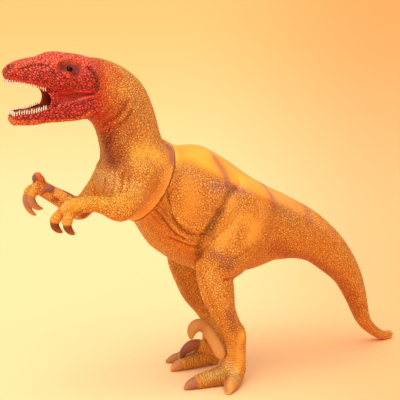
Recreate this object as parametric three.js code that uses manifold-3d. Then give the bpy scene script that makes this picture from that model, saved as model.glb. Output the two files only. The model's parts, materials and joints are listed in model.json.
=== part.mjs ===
// A large soft vinyl toy raptor that stands on two feet and the end of its tail.
// Millimetres. The nose points along -X, the left side along -Y and the back up +Z.
// The figure is two hollow mouldings stuffed with fibre. The front one is head, neck, chest and
// arms, and the rear one is torso, legs and tail. A round plug on the front one snaps through the
// collar of the rear one and turns in it. Teeth, tongue and eyes are set into the head.
import * as THREE from 'three';
import { mergeVertices } from 'three/addons/utils/BufferGeometryUtils.js';
import Module from 'manifold-3d';

const wasm = await Module();
wasm.setup();

// Fits
const clearance = 0.3; // between pieces that touch
const overrun = 2; // how far a cutter runs past what it cuts
const wall = 2.8; // vinyl skin
const groundCut = 1.2; // how far the soles are pressed flat

// Round seam between the front and the rear moulding
const seamRadius = 43.5;
const seamHeight = 218; // of the seam's centre above the floor
const seamLean = THREE.MathUtils.degToRad(30);
const seamGap = 0.6;
const collarDepth = 4; // the rear moulding's inward rim
const rimDepth = 3; // the front moulding's end wall
const collarWidth = 10.5; // from the outside in to the bore that the plug turns in
const plugRadius = seamRadius - collarWidth;
const plugWall = 4;
const lipHeight = 3;
const lipDepth = 3;

// Torso and tail
const trunkLength = 306; // from the seam's centre to the tail's end
const trunkHalfDepth = 60;
const trunkHalfWidth = 50;
const tailSweep = 14; // how far the tail's end bends to the right

// Chest and neck
const chestReach = 52; // from the seam's centre forward to the breast
const chestRadius = 42;
const neckReach = 71; // from the seam's centre forward to the back of the head
const neckRise = 102;
const neckRadius = 31;

// Head
const headLength = 77; // from the neck's end to the snout's tip
const headHalfWidth = 25;
const headHalfDepth = 18;
const jawLength = 72;
const jawDrop = 26; // from the neck's end down to the jaw's middle
const jawHalfDepth = 12.5;
const mouthLength = 70; // from the snout back to the throat
const mouthHalfWidth = 15;
const mouthHalfHeight = 20;
const cornerRadius = 9; // of the open mouth's corner
const eyeRadius = 3.1;
const socketRadius = 7;
const tongueLength = 44;
const tongueHalfWidth = 7;
const tongueHalfDepth = 3;
const gumRadius = 1.3;
const upperToothLength = 3.6;
const lowerToothLength = 4;
const upperToothCount = 24;
const lowerToothCount = 18;

// Arms
const shoulderSpread = 36;
const armLength = 62; // of the forearm with the palm
const armRadius = 12;
const fingerLength = 31;
const fingerRadius = 5.4;

// Legs
const hipBack = 83; // from the seam's centre back to the hip
const hipHeight = 186;
const stance = 40; // from the middle out to the knee
const thighHalfWidth = 21;
const thighHalfDepth = 33;
const shinHalfWidth = 15;
const shinHalfDepth = 18;
const toeLength = 53;
const toeRadius = 9;
const hookLength = 62;
const hookRadius = 6.2;

const left = new THREE.Vector3(0, -1, 0);
const right = new THREE.Vector3(0, 1, 0);
const upright = new THREE.Vector3(0, 0, 1);
const seamAxis = new THREE.Vector3(-Math.cos(seamLean), 0, Math.sin(seamLean));
const seamCentre = new THREE.Vector3(0, 0, seamHeight);
const headBase = new THREE.Vector3(-neckReach, 0, seamHeight + neckRise);

// One cross-section of a loft: its centre and how far it reaches to the sides, up and down.
function station(centre, wide, up = wide, down = up) {
  return { centre, reach: new THREE.Vector3(wide, up, down) };
}

// Evenly numbered sections, count + 1 of them, on smooth curves through the given stations.
function smooth(stations, count) {
  const path = new THREE.CatmullRomCurve3(stations.map((s) => s.centre));
  const size = new THREE.CatmullRomCurve3(stations.map((s) => s.reach));
  const result = [];
  for (let i = 0; i <= count; i += 1) {
    const t = i / count;
    result.push({ centre: path.getPoint(t), reach: size.getPoint(t), along: path.getTangent(t) });
  }
  return result;
}

function signedPower(value, power) {
  return Math.sign(value) * Math.abs(value) ** power;
}

// The points round one section. A squareness of 2 is an ellipse, and more is boxier. The upper
// and lower half of a section have a squareness each.
function ring(section, look, shrink, shift) {
  const { sides, squareAbove, squareBelow, sideways } = look;
  const { along, reach } = section;
  const across = sideways.clone().addScaledVector(along, -sideways.dot(along)).normalize();
  const upward = along.clone().cross(across);
  const points = [];
  for (let j = 0; j < sides; j += 1) {
    const angle = ((j + 0.5) / sides) * 2 * Math.PI;
    const isAbove = Math.sin(angle) > 0;
    const power = 2 / (isAbove ? squareAbove : squareBelow);
    const side = signedPower(Math.cos(angle), power) * reach.x * shrink;
    const rise = signedPower(Math.sin(angle), power) * (isAbove ? reach.y : reach.z) * shrink;
    const point = section.centre.clone().addScaledVector(along, shift);
    points.push(point.addScaledVector(across, side).addScaledVector(upward, rise));
  }
  return points;
}

const domeSteps = 2; // rings that round off each end of a loft

// A closed solid through stations. An end bulges by a share of its reach, or is flat at 0. grow
// swells the whole solid evenly, and a negative one draws it in.
function loft(stations, options = {}) {
  const look = { sides: 12, squareAbove: 2, squareBelow: 2, sideways: right, ...options };
  const { count = 12, startShare = 0.8, endShare = 0.8, grow = 0 } = options;
  const line = smooth(stations, count);
  line.forEach((section) => section.reach.addScalar(grow));
  const first = line[0];
  const last = line[count];
  const bulge = (section, share) => Math.min(section.reach.x, section.reach.y) * share;
  const startLength = -(bulge(first, startShare) + Math.max(grow, 0));
  const endLength = bulge(last, endShare) + Math.max(grow, 0);
  const dome = (section, i, length) => {
    const angle = (i / domeSteps) * (Math.PI / 2);
    return ring(section, look, Math.cos(angle), length * Math.sin(angle));
  };
  const rings = [];
  for (let i = domeSteps - 1; i > 0 && startShare > 0; i -= 1) rings.push(dome(first, i, startLength));
  line.forEach((section) => rings.push(ring(section, look, 1, 0)));
  for (let i = 1; i < domeSteps && endShare > 0; i += 1) rings.push(dome(last, i, endLength));
  const startShift = startShare > 0 ? startLength : 0;
  const endShift = endShare > 0 ? endLength : 0;
  const startPole = first.centre.clone().addScaledVector(first.along, startShift);
  const endPole = last.centre.clone().addScaledVector(last.along, endShift);
  return skin(rings, startPole, endPole);
}

// A solid whose skin runs over rings of points and closes in a pole at each end.
function skin(rings, startPole, endPole) {
  const sides = rings[0].length;
  const points = [...rings.flat(), startPole, endPole];
  const startIndex = points.length - 2;
  const endIndex = points.length - 1;
  const lastRing = (rings.length - 1) * sides;
  const faces = [];
  for (let j = 0; j < sides; j += 1) {
    const k = (j + 1) % sides;
    faces.push(startIndex, k, j);
    faces.push(endIndex, lastRing + j, lastRing + k);
    for (let i = 0; i < rings.length - 1; i += 1) {
      const near = i * sides;
      const far = near + sides;
      faces.push(near + j, near + k, far + k);
      faces.push(near + j, far + k, far + j);
    }
  }
  return solidOf(points.flatMap((p) => p.toArray()), faces);
}

function solidOf(positions, faces) {
  const vertProperties = new Float32Array(positions);
  const triVerts = new Uint32Array(faces);
  return new wasm.Manifold(new wasm.Mesh({ numProp: 3, vertProperties, triVerts }));
}

// A three.js geometry as a solid.
function solidFrom(geometry) {
  geometry.deleteAttribute('normal');
  geometry.deleteAttribute('uv');
  const merged = mergeVertices(geometry);
  return solidOf(Array.from(merged.attributes.position.array), Array.from(merged.index.array));
}

function ball(centre, radius, flatShare = 1) {
  const sphere = new THREE.SphereGeometry(radius, 10, 7).scale(1, flatShare, 1);
  return solidFrom(sphere.translate(centre.x, centre.y, centre.z));
}

function joined(solids) {
  return solids.reduce((sum, solid) => sum.add(solid));
}

// A profile of [radius, distance forward of the seam] pairs, turned about the seam's axis.
function turned(profile) {
  const outline = profile.map(([radius, forward]) => new THREE.Vector2(radius, forward));
  const lathe = new THREE.LatheGeometry(outline, 36);
  lathe.applyQuaternion(new THREE.Quaternion().setFromUnitVectors(right, seamAxis));
  return solidFrom(lathe.translate(seamCentre.x, seamCentre.y, seamCentre.z));
}

function disc(radius, low, high) {
  return turned([[0, low], [radius, low], [radius, high], [0, high]]);
}

// Everything in front of a plane square to the seam's axis, or everything behind it.
function allInFront(forward) {
  return disc(trunkLength, forward, forward + trunkLength);
}

function allBehind(forward) {
  return disc(trunkLength, forward - 2 * trunkLength, forward);
}

// Stations that carry a round section straight through the seam, from one side to the other.
const throughSeamShares = [-0.4, 0, 0.2];
function throughSeam(direction, inset) {
  return throughSeamShares.map((share) => {
    const centre = seamCentre.clone().addScaledVector(seamAxis, direction * share * seamRadius);
    return station(centre, seamRadius - inset);
  });
}

// Torso and tail: shares of length back, sweep to the right and seam height, then of the half
// width and of the half depth up and down.
const trunkShares = [
  [0.104, 0, 0.913, 0.98, 0.94, 0.96],
  [0.203, 0, 0.835, 1, 0.92, 1.03],
  [0.301, 0, 0.778, 0.92, 0.81, 0.98],
  [0.389, 0.03, 0.739, 0.8, 0.7, 0.85],
  [0.48, 0.08, 0.706, 0.66, 0.58, 0.62],
  [0.572, 0.14, 0.665, 0.54, 0.455, 0.51],
  [0.65, 0.22, 0.601, 0.45, 0.375, 0.42],
  [0.716, 0.32, 0.511, 0.39, 0.34, 0.345],
  [0.78, 0.45, 0.404, 0.31, 0.265, 0.265],
  [0.823, 0.6, 0.288, 0.25, 0.21, 0.21],
  [0.865, 0.76, 0.142, 0.18, 0.138, 0.138],
  [0.893, 0.86, 0.092, 0.15, 0.112, 0.112],
  [0.931, 0.93, 0.047, 0.125, 0.095, 0.095],
  [0.966, 0.97, 0.02, 0.11, 0.087, 0.087],
  [0.995, 1, 0.024, 0.085, 0.068, 0.068],
];

function trunkStations(inset) {
  const rows = trunkShares.map(([back, sweep, height, wide, up, down]) => {
    const low = down * trunkHalfDepth;
    const z = Math.max(height * seamHeight, low - groundCut / 2);
    const centre = new THREE.Vector3(back * trunkLength, sweep * tailSweep, z);
    return station(centre, wide * trunkHalfWidth - inset, up * trunkHalfDepth - inset, low - inset);
  });
  return [...throughSeam(-1, inset), ...rows];
}

// Chest, straight out along the seam's axis: shares of reach forward, and of the chest's radius
// to the sides, up and down.
const chestShares = [
  [0.36, 1.03, 1, 1],
  [0.6, 0.95, 0.93, 0.95],
  [0.8, 0.74, 0.72, 0.78],
];

function chestStations(inset) {
  const rows = chestShares.map(([forward, ...reach]) => {
    const centre = seamCentre.clone().addScaledVector(seamAxis, forward * chestReach);
    return station(centre, ...reach.map((share) => share * chestRadius - inset));
  });
  return [...throughSeam(1, inset), ...rows];
}

// Neck: shares of reach forward and rise above the seam, and of the neck's radius to the sides,
// to the back and to the throat.
const neckShares = [
  [0.15, 0.04, 1.2, 1.15, 1.15],
  [0.24, 0.22, 1.15, 1.12, 1.06],
  [0.28, 0.37, 1, 1.06, 0.96],
  [0.31, 0.51, 0.9, 0.99, 0.99],
  [0.38, 0.66, 0.86, 1.01, 0.98],
  [0.48, 0.79, 0.84, 1.04, 0.98],
  [0.63, 0.9, 0.82, 0.98, 1],
  [0.82, 0.97, 0.81, 0.92, 0.96],
  [1, 1, 0.79, 0.84, 0.88],
];

function neckStations(inset) {
  return neckShares.map(([forward, rise, ...reach]) => {
    const centre = new THREE.Vector3(-forward * neckReach, 0, seamHeight + rise * neckRise);
    return station(centre, ...reach.map((share) => share * neckRadius - inset));
  });
}

// Skull: shares of length forward and half depth up, and of the half width and half depth.
const skullShares = [
  [-0.15, 0.1, 1.02, 1.16],
  [-0.05, 0.5, 1, 0.98],
  [0.15, 0.75, 0.92, 0.97],
  [0.34, 0.83, 0.8, 0.98],
  [0.5, 0.83, 0.68, 0.85],
  [0.675, 0.94, 0.58, 0.68],
  [0.84, 1, 0.48, 0.53],
  [0.94, 0.97, 0.36, 0.38],
];

function skullStations() {
  return skullShares.map(([forward, rise, wide, half]) => {
    const x = headBase.x - forward * headLength;
    const centre = new THREE.Vector3(x, 0, headBase.z + rise * headHalfDepth);
    return station(centre, wide * headHalfWidth, half * headHalfDepth);
  });
}

// Lower jaw: shares of length forward, drop, the head's half width and the jaw's half depth.
const jawShares = [
  [-0.24, 0.77, 0.96, 1.2],
  [-0.04, 0.79, 0.93, 1],
  [0.16, 0.865, 0.86, 0.92],
  [0.33, 0.925, 0.76, 0.8],
  [0.53, 1, 0.66, 0.64],
  [0.71, 1.08, 0.56, 0.56],
  [0.88, 1.09, 0.46, 0.52],
  [0.97, 1.02, 0.36, 0.42],
];

function jawStations() {
  return jawShares.map(([forward, drop, wide, half]) => {
    const centre = new THREE.Vector3(headBase.x - forward * jawLength, 0, headBase.z - drop * jawDrop);
    return station(centre, wide * headHalfWidth, half * jawHalfDepth);
  });
}

// Skin that spans the jaws behind the open mouth: shares of jaw length forward, jaw drop, the
// head's half width and the jaw's half depth.
const cheekShares = [
  [-0.08, 0.31, 0.86, 0.32],
  [0.13, 0.33, 0.77, 0.42],
  [0.29, 0.35, 0.7, 0.6],
  [0.44, 0.37, 0.62, 0.84],
  [0.6, 0.4, 0.56, 1],
];

function cheekStations() {
  return cheekShares.map(([forward, drop, wide, half]) => {
    const centre = new THREE.Vector3(headBase.x - forward * jawLength, 0, headBase.z - drop * jawDrop);
    return station(centre, wide * headHalfWidth, half * jawHalfDepth);
  });
}

// The open mouth's round corner, cut across both cheeks.
function mouthCorner() {
  const [forward, drop] = cheekShares[cheekShares.length - 1];
  const rod = new THREE.CylinderGeometry(cornerRadius, cornerRadius, 4 * headHalfWidth, 16);
  const x = headBase.x - forward * jawLength;
  return solidFrom(rod.translate(x, 0, headBase.z - drop * jawDrop));
}

// Hollow of the mouth, from the throat to the lips: shares of mouth length forward, half height
// below the head's base, the mouth's half width and half height.
const mouthShares = [
  [0.13, 0.45, 0.8, 0.28],
  [0.3, 0.46, 0.98, 0.52],
  [0.49, 0.46, 0.88, 0.72],
  [0.66, 0.44, 0.76, 0.84],
  [0.86, 0.37, 0.62, 0.92],
  [1.02, 0.33, 0.42, 0.95],
];

function mouthStations() {
  return mouthShares.map(([forward, drop, wide, half]) => {
    const x = headBase.x - forward * mouthLength;
    const centre = new THREE.Vector3(x, 0, headBase.z - drop * mouthHalfHeight);
    return station(centre, wide * mouthHalfWidth, half * mouthHalfHeight);
  });
}

// Tongue on the mouth's floor: shares of tongue length forward from the throat, of the mouth's
// half height down, and of the tongue's half width and half depth.
const tongueShares = [
  [0, 0.96, 0.9, 0.9],
  [0.33, 1.12, 1, 1],
  [0.67, 1.18, 0.9, 0.9],
  [1, 1.21, 0.6, 0.6],
];

function tongueSolid(grow) {
  const throat = headBase.x - mouthShares[1][0] * mouthLength;
  const stations = tongueShares.map(([forward, drop, wide, half]) => {
    const z = headBase.z - drop * mouthHalfHeight;
    const centre = new THREE.Vector3(throat - forward * tongueLength, 0, z);
    return station(centre, wide * tongueHalfWidth, half * tongueHalfDepth);
  });
  return loft(stations, { sideways: left, sides: 10, count: 6, squareAbove: 2.6, grow });
}

// The line of one row of teeth, which follows a jaw's lip round from left to right. opens is the
// way to the mouth's gap, and edgeShare is how far out and that way the line lies.
const edgeShare = { wide: 0.74, half: 0.9 };
function toothLine(stations, opens) {
  const leftSide = stations.map(({ centre, reach }) => centre.clone()
    .addScaledVector(left, edgeShare.wide * reach.x)
    .addScaledVector(upright, opens * edgeShare.half * reach.y));
  const front = leftSide[leftSide.length - 1].clone();
  front.y = 0;
  front.x -= stations[stations.length - 1].reach.x * edgeShare.wide / 2;
  const rightSide = leftSide.map((p) => new THREE.Vector3(p.x, -p.y, p.z)).reverse();
  return [...leftSide, front, ...rightSide];
}

// The gum strip that a row of teeth stands on, let into the lip.
function gumStrip(line, grow) {
  const stations = line.map((point) => station(point, gumRadius));
  return loft(stations, { sides: 5, count: 2 * line.length, sideways: upright, grow });
}

// grow swells the strip and its teeth evenly, for the seat that they are let into.
function toothRow({ line, opens, count, length }, grow = 0) {
  const path = new THREE.CatmullRomCurve3(line);
  const teeth = [];
  for (let i = 0; i < count; i += 1) {
    const t = (i + 0.5) / count;
    teeth.push(tooth(path.getPointAt(t), path.getTangentAt(t), opens, length, grow));
  }
  return gumStrip(line, grow).add(joined(teeth));
}

// A four-sided tooth that leans back a little at its point.
function tooth(root, along, opens, length, grow) {
  const across = along.clone().cross(upright).normalize();
  const halfBase = gumRadius * 0.8 + grow;
  const base = [[1, 0], [0, 1], [-1, 0], [0, -1]].map(([a, b]) => root.clone()
    .addScaledVector(along, a * halfBase)
    .addScaledVector(across, -b * opens * halfBase));
  const tip = root.clone().addScaledVector(upright, opens * (length + grow));
  tip.x += length / 5;
  const heel = root.clone().addScaledVector(upright, -opens * (gumRadius / 2 + grow));
  return skin([base], heel, tip);
}

// Where an eye sits: on the skull's side, level with the top of the cheek.
const eyeShares = { forward: 0.215, rise: 1.1, wide: 0.76, socket: 1.02 };
function eyePlace(side, wideShare) {
  const x = headBase.x - eyeShares.forward * headLength;
  const z = headBase.z + eyeShares.rise * headHalfDepth;
  return new THREE.Vector3(x, 0, z).addScaledVector(side, wideShare * headHalfWidth);
}

// Ridge over an eye: shares of head length forward, half width out and half depth up.
const browShares = [
  [0.06, 0.7, 1.45, 0.5],
  [0.22, 0.72, 1.5, 0.75],
  [0.4, 0.6, 1.42, 0.75],
  [0.58, 0.46, 1.35, 0.4],
];

function brow(side) {
  const stations = browShares.map(([forward, out, rise, thick]) => {
    const x = headBase.x - forward * headLength;
    const centre = new THREE.Vector3(x, 0, headBase.z + rise * headHalfDepth);
    centre.addScaledVector(side, out * headHalfWidth);
    return station(centre, thick * headHalfDepth / 4);
  });
  return loft(stations, { sides: 8, count: 6, sideways: upright });
}

// Jaw muscle behind the eye.
const jowlShares = { forward: 0.03, out: 0.78, rise: 0.42, radius: 0.62, flat: 0.6 };
function jowl(side) {
  const centre = headBase.clone().addScaledVector(side, jowlShares.out * headHalfWidth);
  centre.x -= jowlShares.forward * headLength;
  centre.z += jowlShares.rise * headHalfDepth;
  return ball(centre, jowlShares.radius * headHalfDepth, jowlShares.flat);
}

// An arm's shoulder to palm: shares of forearm length forward and down from the seam's centre,
// of the shoulder's spread outwards, and of the arm's radius.
const leftArmShares = [
  [0.42, -0.25, 0.92, 1.85],
  [0.6, 0, 1.12, 1.42],
  [0.77, 0.22, 1.26, 1.02],
  [0.89, 0.21, 1.27, 0.9],
  [1.03, 0.14, 1.25, 0.78],
  [1.24, 0.09, 1.21, 0.64],
  [1.43, 0.09, 1.17, 0.65],
  [1.6, 0.12, 1.12, 0.66],
  [1.67, 0.15, 1.1, 0.5],
];
const rightArmShares = [
  [0.36, -0.2, 0.88, 1.5],
  [0.58, 0.15, 1.06, 1.14],
  [0.82, 0.45, 1.2, 0.95],
  [0.92, 0.54, 1.22, 0.88],
  [1.06, 0.46, 1.2, 0.9],
  [1.23, 0.33, 1.16, 0.78],
  [1.42, 0.21, 1.1, 0.68],
  [1.58, 0.1, 1.05, 0.66],
  [1.7, 0.03, 1.02, 0.5],
];

function armPoint([forward, down, out], side) {
  const point = new THREE.Vector3(-forward * armLength, 0, seamHeight - down * armLength);
  return point.addScaledVector(side, out * shoulderSpread);
}

// Fingers from the palm: shares of finger length forward, out and up, and of finger radius.
// The last three rows of each are its claw.
const leftFingers = [
  [[0, 0, 0, 0.95], [0.1, 0.12, -0.25, 0.9], [0.16, 0.13, -0.44, 0.85], [0.13, 0.13, -0.58, 0.75],
    [0.02, 0.13, -0.73, 0.5], [-0.1, 0.13, -0.81, 0.15]],
  [[0, -0.15, 0, 0.95], [0.28, -0.2, -0.25, 0.92], [0.42, -0.25, -0.46, 0.88],
    [0.4, -0.25, -0.61, 0.75], [0.28, -0.25, -0.75, 0.5], [0.16, -0.25, -0.84, 0.15]],
  [[-0.2, -0.25, 0.05, 1], [0.06, -0.42, 0.26, 0.95], [0.28, -0.52, 0.42, 0.85],
    [0.45, -0.57, 0.51, 0.75], [0.62, -0.6, 0.47, 0.5], [0.72, -0.6, 0.33, 0.15]],
];
const rightFingers = [
  [[0, 0.05, 0, 0.9], [0.35, 0.12, 0, 0.9], [0.5, 0.13, -0.2, 0.85], [0.52, 0.13, -0.45, 0.75],
    [0.4, 0.13, -0.75, 0.5], [0.2, 0.13, -0.92, 0.15]],
  [[0, -0.08, 0, 0.9], [0.33, -0.1, -0.02, 0.9], [0.46, -0.12, -0.25, 0.85],
    [0.36, -0.12, -0.48, 0.7], [0.2, -0.12, -0.6, 0.45], [0.05, -0.12, -0.63, 0.15]],
  [[-0.05, -0.12, 0, 1], [0.06, -0.24, 0.27, 1.05], [0.18, -0.3, 0.48, 1.08],
    [0.34, -0.33, 0.54, 0.9], [0.48, -0.33, 0.44, 0.55], [0.53, -0.33, 0.26, 0.15]],
];

function finger(palm, side, shares) {
  const stations = shares.map(([forward, out, up, thick]) => {
    const centre = palm.clone().addScaledVector(side, out * fingerLength);
    centre.x -= forward * fingerLength;
    centre.z += up * fingerLength;
    return station(centre, thick * fingerRadius);
  });
  return loft(stations, { sides: 6, count: 7, sideways: side });
}

function arm(side, armShares, fingers) {
  const stations = armShares.map((row) => station(armPoint(row, side), row[3] * armRadius));
  const limb = loft(stations, { sides: 10, count: 10, sideways: right });
  const palm = armPoint(armShares[armShares.length - 2], side);
  return joined([limb, ...fingers.map((shares) => finger(palm, side, shares))]);
}

// A leg: shares of hip height back from the hip, stance out and height, then of the half width
// and half depth of the thigh or shin. The right leg stands back by a further share.
const thighShares = [
  [0.13, 0.58, 1.08, 0.9, 1, 0],
  [0.06, 0.7, 0.985, 1.02, 1.12, 0.005],
  [-0.02, 0.83, 0.86, 1.03, 1.08, 0.015],
  [-0.09, 0.93, 0.765, 0.98, 0.88, 0.02],
  [-0.14, 0.98, 0.705, 0.86, 0.66, 0.02],
];
const shinShares = [
  [-0.175, 0.95, 0.74, 0.95, 0.9, 0.02],
  [-0.155, 1, 0.645, 1.02, 1.03, 0.02],
  [-0.132, 1, 0.554, 0.92, 0.94, 0.02],
  [-0.1, 0.98, 0.446, 0.75, 0.73, 0.015],
  [-0.05, 0.93, 0.344, 0.64, 0.66, 0.035],
  [-0.022, 0.88, 0.29, 0.64, 0.73, 0.045],
  [-0.016, 0.85, 0.226, 0.6, 0.7, 0.05],
  [-0.016, 0.82, 0.15, 0.68, 0.72, 0.05],
  [-0.02, 0.8, 0.08, 0.82, 0.78, 0.05],
];

function legStations(side, shares, halfWidth, halfDepth) {
  const isRight = side === right;
  return shares.map(([back, out, height, wide, deep, trail]) => {
    const x = hipBack + (back + (isRight ? trail : 0)) * hipHeight;
    const centre = new THREE.Vector3(x, 0, height * hipHeight).addScaledVector(side, out * stance);
    return station(centre, wide * halfWidth, deep * halfDepth);
  });
}

// Toes from the ankle's foot: shares of toe length forward and out, and of toe radius. A toe lies
// on the floor, so its height follows its thickness.
const leftToes = [
  [[0.08, -0.02, 1.35], [0.36, -0.06, 1.02], [0.64, -0.075, 0.82], [0.86, -0.085, 0.62],
    [1, -0.09, 0.18]],
  [[0.02, 0.06, 1.3], [0.14, 0.24, 0.88], [0.24, 0.36, 0.74], [0.3, 0.43, 0.52], [0.35, 0.5, 0.15]],
];
const rightToes = [
  [[0.1, -0.02, 1.35], [0.4, -0.075, 1.02], [0.64, -0.09, 0.82], [0.85, -0.1, 0.6], [1, -0.11, 0.18]],
  [[0.1, 0.05, 1.2], [0.36, 0.19, 0.88], [0.6, 0.28, 0.74], [0.76, 0.34, 0.52], [0.9, 0.38, 0.15]],
];

function toe(foot, side, shares) {
  const stations = shares.map(([forward, out, thick]) => {
    const radius = thick * toeRadius;
    const centre = new THREE.Vector3(foot.x - forward * toeLength, foot.y, radius - groundCut / 2);
    return station(centre.addScaledVector(side, out * toeLength), radius);
  });
  const sideways = stations[0].centre.clone().sub(stations[4].centre).setZ(0).cross(upright);
  return loft(stations, { sides: 8, count: 6, sideways: sideways.normalize() });
}

// Raised hook toe on the inner side of each foot: shares of hook length forward, out and up from
// the foot, and of hook radius. The last four rows are the claw.
const leftHookShares = [
  [0.06, -0.03, 0.46, 0.85],
  [0.18, -0.08, 0.58, 0.86],
  [0.32, -0.08, 0.81, 0.84],
  [0.45, -0.08, 1.02, 0.9],
  [0.55, -0.08, 1.13, 1],
  [0.66, -0.08, 1.14, 0.95],
  [0.745, -0.08, 1.04, 0.62],
  [0.74, -0.08, 0.93, 0.16],
];
const rightHookShares = [
  [0.03, -0.06, 0.1, 1.25],
  [0.14, -0.1, 0.24, 1.25],
  [0.25, -0.1, 0.41, 1.2],
  [0.37, -0.1, 0.49, 1.2],
  [0.53, -0.1, 0.43, 1],
  [0.66, -0.1, 0.3, 0.62],
  [0.71, -0.1, 0.22, 0.16],
];

function hook(foot, side, shares) {
  const stations = shares.map(([forward, out, up, thick]) => {
    const centre = new THREE.Vector3(foot.x - forward * hookLength, foot.y, up * hookLength);
    return station(centre.addScaledVector(side, out * hookLength), thick * hookRadius);
  });
  return loft(stations, { sides: 7, count: 9, sideways: right });
}

function leg(side, toes, hookShares) {
  const thigh = legStations(side, thighShares, thighHalfWidth, thighHalfDepth);
  const shin = legStations(side, shinShares, shinHalfWidth, shinHalfDepth);
  const foot = shin[shin.length - 1].centre;
  return joined([
    loft(thigh, { sides: 16, count: 7, sideways: left, startShare: 0.5 }),
    loft(shin, { sides: 14, count: 12, sideways: left, startShare: 0.5 }),
    hook(foot, side, hookShares),
    ...toes.map((shares) => toe(foot, side, shares)),
  ]);
}

// Rear moulding: torso, legs and tail round one hollow that opens through the collar.
const hollowRows = 9; // stations of the trunk that the hollow runs through
function rearHollow(inset) {
  const stations = trunkStations(inset).slice(0, hollowRows);
  return loft(stations, { sides: 14, count: 9, sideways: right });
}

function rearShellSolid() {
  const trunk = loft(trunkStations(0), { sides: 24, count: 26, sideways: right });
  const floor = new THREE.BoxGeometry(4 * trunkLength, trunkLength, trunkLength);
  const bore = disc(plugRadius + clearance, -collarDepth - overrun, overrun);
  return trunk
    .subtract(allInFront(-seamGap / 2))
    .add(leg(left, leftToes, leftHookShares))
    .add(leg(right, rightToes, rightHookShares))
    .subtract(solidFrom(floor.translate(0, 0, -trunkLength / 2)))
    .subtract(rearHollow(wall).subtract(allInFront(-collarDepth)))
    .subtract(bore);
}

// Front moulding: head, neck, chest and arms round one hollow that opens through the plug.
const neckRows = 6; // stations of the neck that the hollow runs through
function frontHollow(inset) {
  const chest = loft(chestStations(inset), { sides: 14, count: 6, sideways: left, endShare: 0.35 });
  const neck = loft(neckStations(inset).slice(0, neckRows), { sides: 14, count: 6, sideways: left });
  return chest.add(neck);
}

function headSolid() {
  const form = { sides: 18, count: 10, sideways: left };
  const skull = loft(skullStations(), { ...form, squareAbove: 2.2, squareBelow: 3.6, endShare: 0.6 });
  const jaw = loft(jawStations(), { ...form, squareAbove: 3.6, squareBelow: 2.2, endShare: 0.5 });
  const boxy = { sideways: left, squareAbove: 3, squareBelow: 3 };
  const cheek = loft(cheekStations(), { ...boxy, sides: 14, count: 4, endShare: 0 }).subtract(mouthCorner());
  const mouth = loft(mouthStations(), { ...boxy, sides: 14, count: 7 });
  const sides = [left, right];
  const features = sides.flatMap((side) => [brow(side), jowl(side)]);
  const sockets = sides.map((side) => ball(eyePlace(side, eyeShares.socket), socketRadius, 0.6));
  return joined([skull, jaw, cheek, ...features]).subtract(mouth).subtract(joined(sockets));
}

// The plug, with a lip that snaps in behind the collar. The bore then makes it a tube.
const lipFront = -collarDepth - clearance;
const lipBack = lipFront - lipDepth;
function plugSolid() {
  return turned([
    [0, lipBack],
    [plugRadius + lipHeight, lipBack],
    [plugRadius + lipHeight, lipFront],
    [plugRadius, lipFront],
    [plugRadius, rimDepth / 2],
    [0, rimDepth / 2],
  ]);
}

// The upper row hangs from the skull's lip, and the lower row stands on the jaw's.
const upperRow = {
  line: toothLine(skullStations().slice(4), -1),
  opens: -1,
  count: upperToothCount,
  length: upperToothLength,
};
const lowerRow = {
  line: toothLine(jawStations().slice(4), 1),
  opens: 1,
  count: lowerToothCount,
  length: lowerToothLength,
};

function frontShellSolid() {
  const chest = loft(chestStations(0), { sides: 24, count: 8, sideways: left, endShare: 0.35 });
  const neck = loft(neckStations(0), { sides: 20, count: 12, sideways: left });
  const bore = disc(plugRadius - plugWall, lipBack - overrun, rimDepth + overrun);
  const eyes = [left, right].map((side) => ball(eyePlace(side, eyeShares.wide), eyeRadius + clearance));
  return chest
    .subtract(allBehind(seamGap / 2))
    .add(neck.subtract(allBehind(rimDepth)))
    .add(headSolid())
    .add(arm(left, leftArmShares, leftFingers))
    .add(arm(right, rightArmShares, rightFingers))
    .subtract(frontHollow(wall).subtract(allBehind(rimDepth)))
    .add(plugSolid())
    .subtract(bore)
    .subtract(tongueSolid(clearance))
    .subtract(toothRow(upperRow, clearance))
    .subtract(toothRow(lowerRow, clearance))
    .subtract(joined(eyes));
}

function meshOf(name, solid, colour, roughness) {
  const { vertProperties, triVerts, numProp } = solid.getMesh();
  const count = vertProperties.length / numProp;
  const positions = new Float32Array(count * 3);
  for (let i = 0; i < count; i += 1) {
    positions.set(vertProperties.subarray(i * numProp, i * numProp + 3), i * 3);
  }
  const geometry = new THREE.BufferGeometry();
  geometry.setAttribute('position', new THREE.BufferAttribute(positions, 3));
  geometry.setIndex(new THREE.BufferAttribute(new Uint32Array(triVerts), 1));
  geometry.computeVertexNormals();
  const material = new THREE.MeshStandardMaterial({ color: colour, roughness, metalness: 0 });
  const mesh = new THREE.Mesh(geometry, material);
  mesh.name = name;
  return mesh;
}

const slack = wall + clearance;
const figure = new THREE.Group();
figure.add(
  meshOf('rear_shell', rearShellSolid(), 0xd98a32, 0.5),
  meshOf('rear_fill', rearHollow(slack).subtract(allInFront(lipBack - clearance)), 0xf0ece2, 1),
  meshOf('front_shell', frontShellSolid(), 0xc8552c, 0.5),
  meshOf('front_fill', frontHollow(slack).subtract(allBehind(rimDepth + clearance)), 0xf0ece2, 1),
  meshOf('tongue', tongueSolid(0), 0xa85a4a, 0.4),
  meshOf('upper_teeth', toothRow(upperRow), 0xf2ead8, 0.35),
  meshOf('lower_teeth', toothRow(lowerRow), 0xf2ead8, 0.35),
  meshOf('left_eye', ball(eyePlace(left, eyeShares.wide), eyeRadius), 0x120a08, 0.15),
  meshOf('right_eye', ball(eyePlace(right, eyeShares.wide), eyeRadius), 0x120a08, 0.15),
);

// The origin is on the floor, under the middle of the figure.
const bounds = new THREE.Box3().setFromObject(figure);
const middle = bounds.getCenter(new THREE.Vector3());
figure.position.set(-middle.x, -middle.y, -bounds.min.z);

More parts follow.
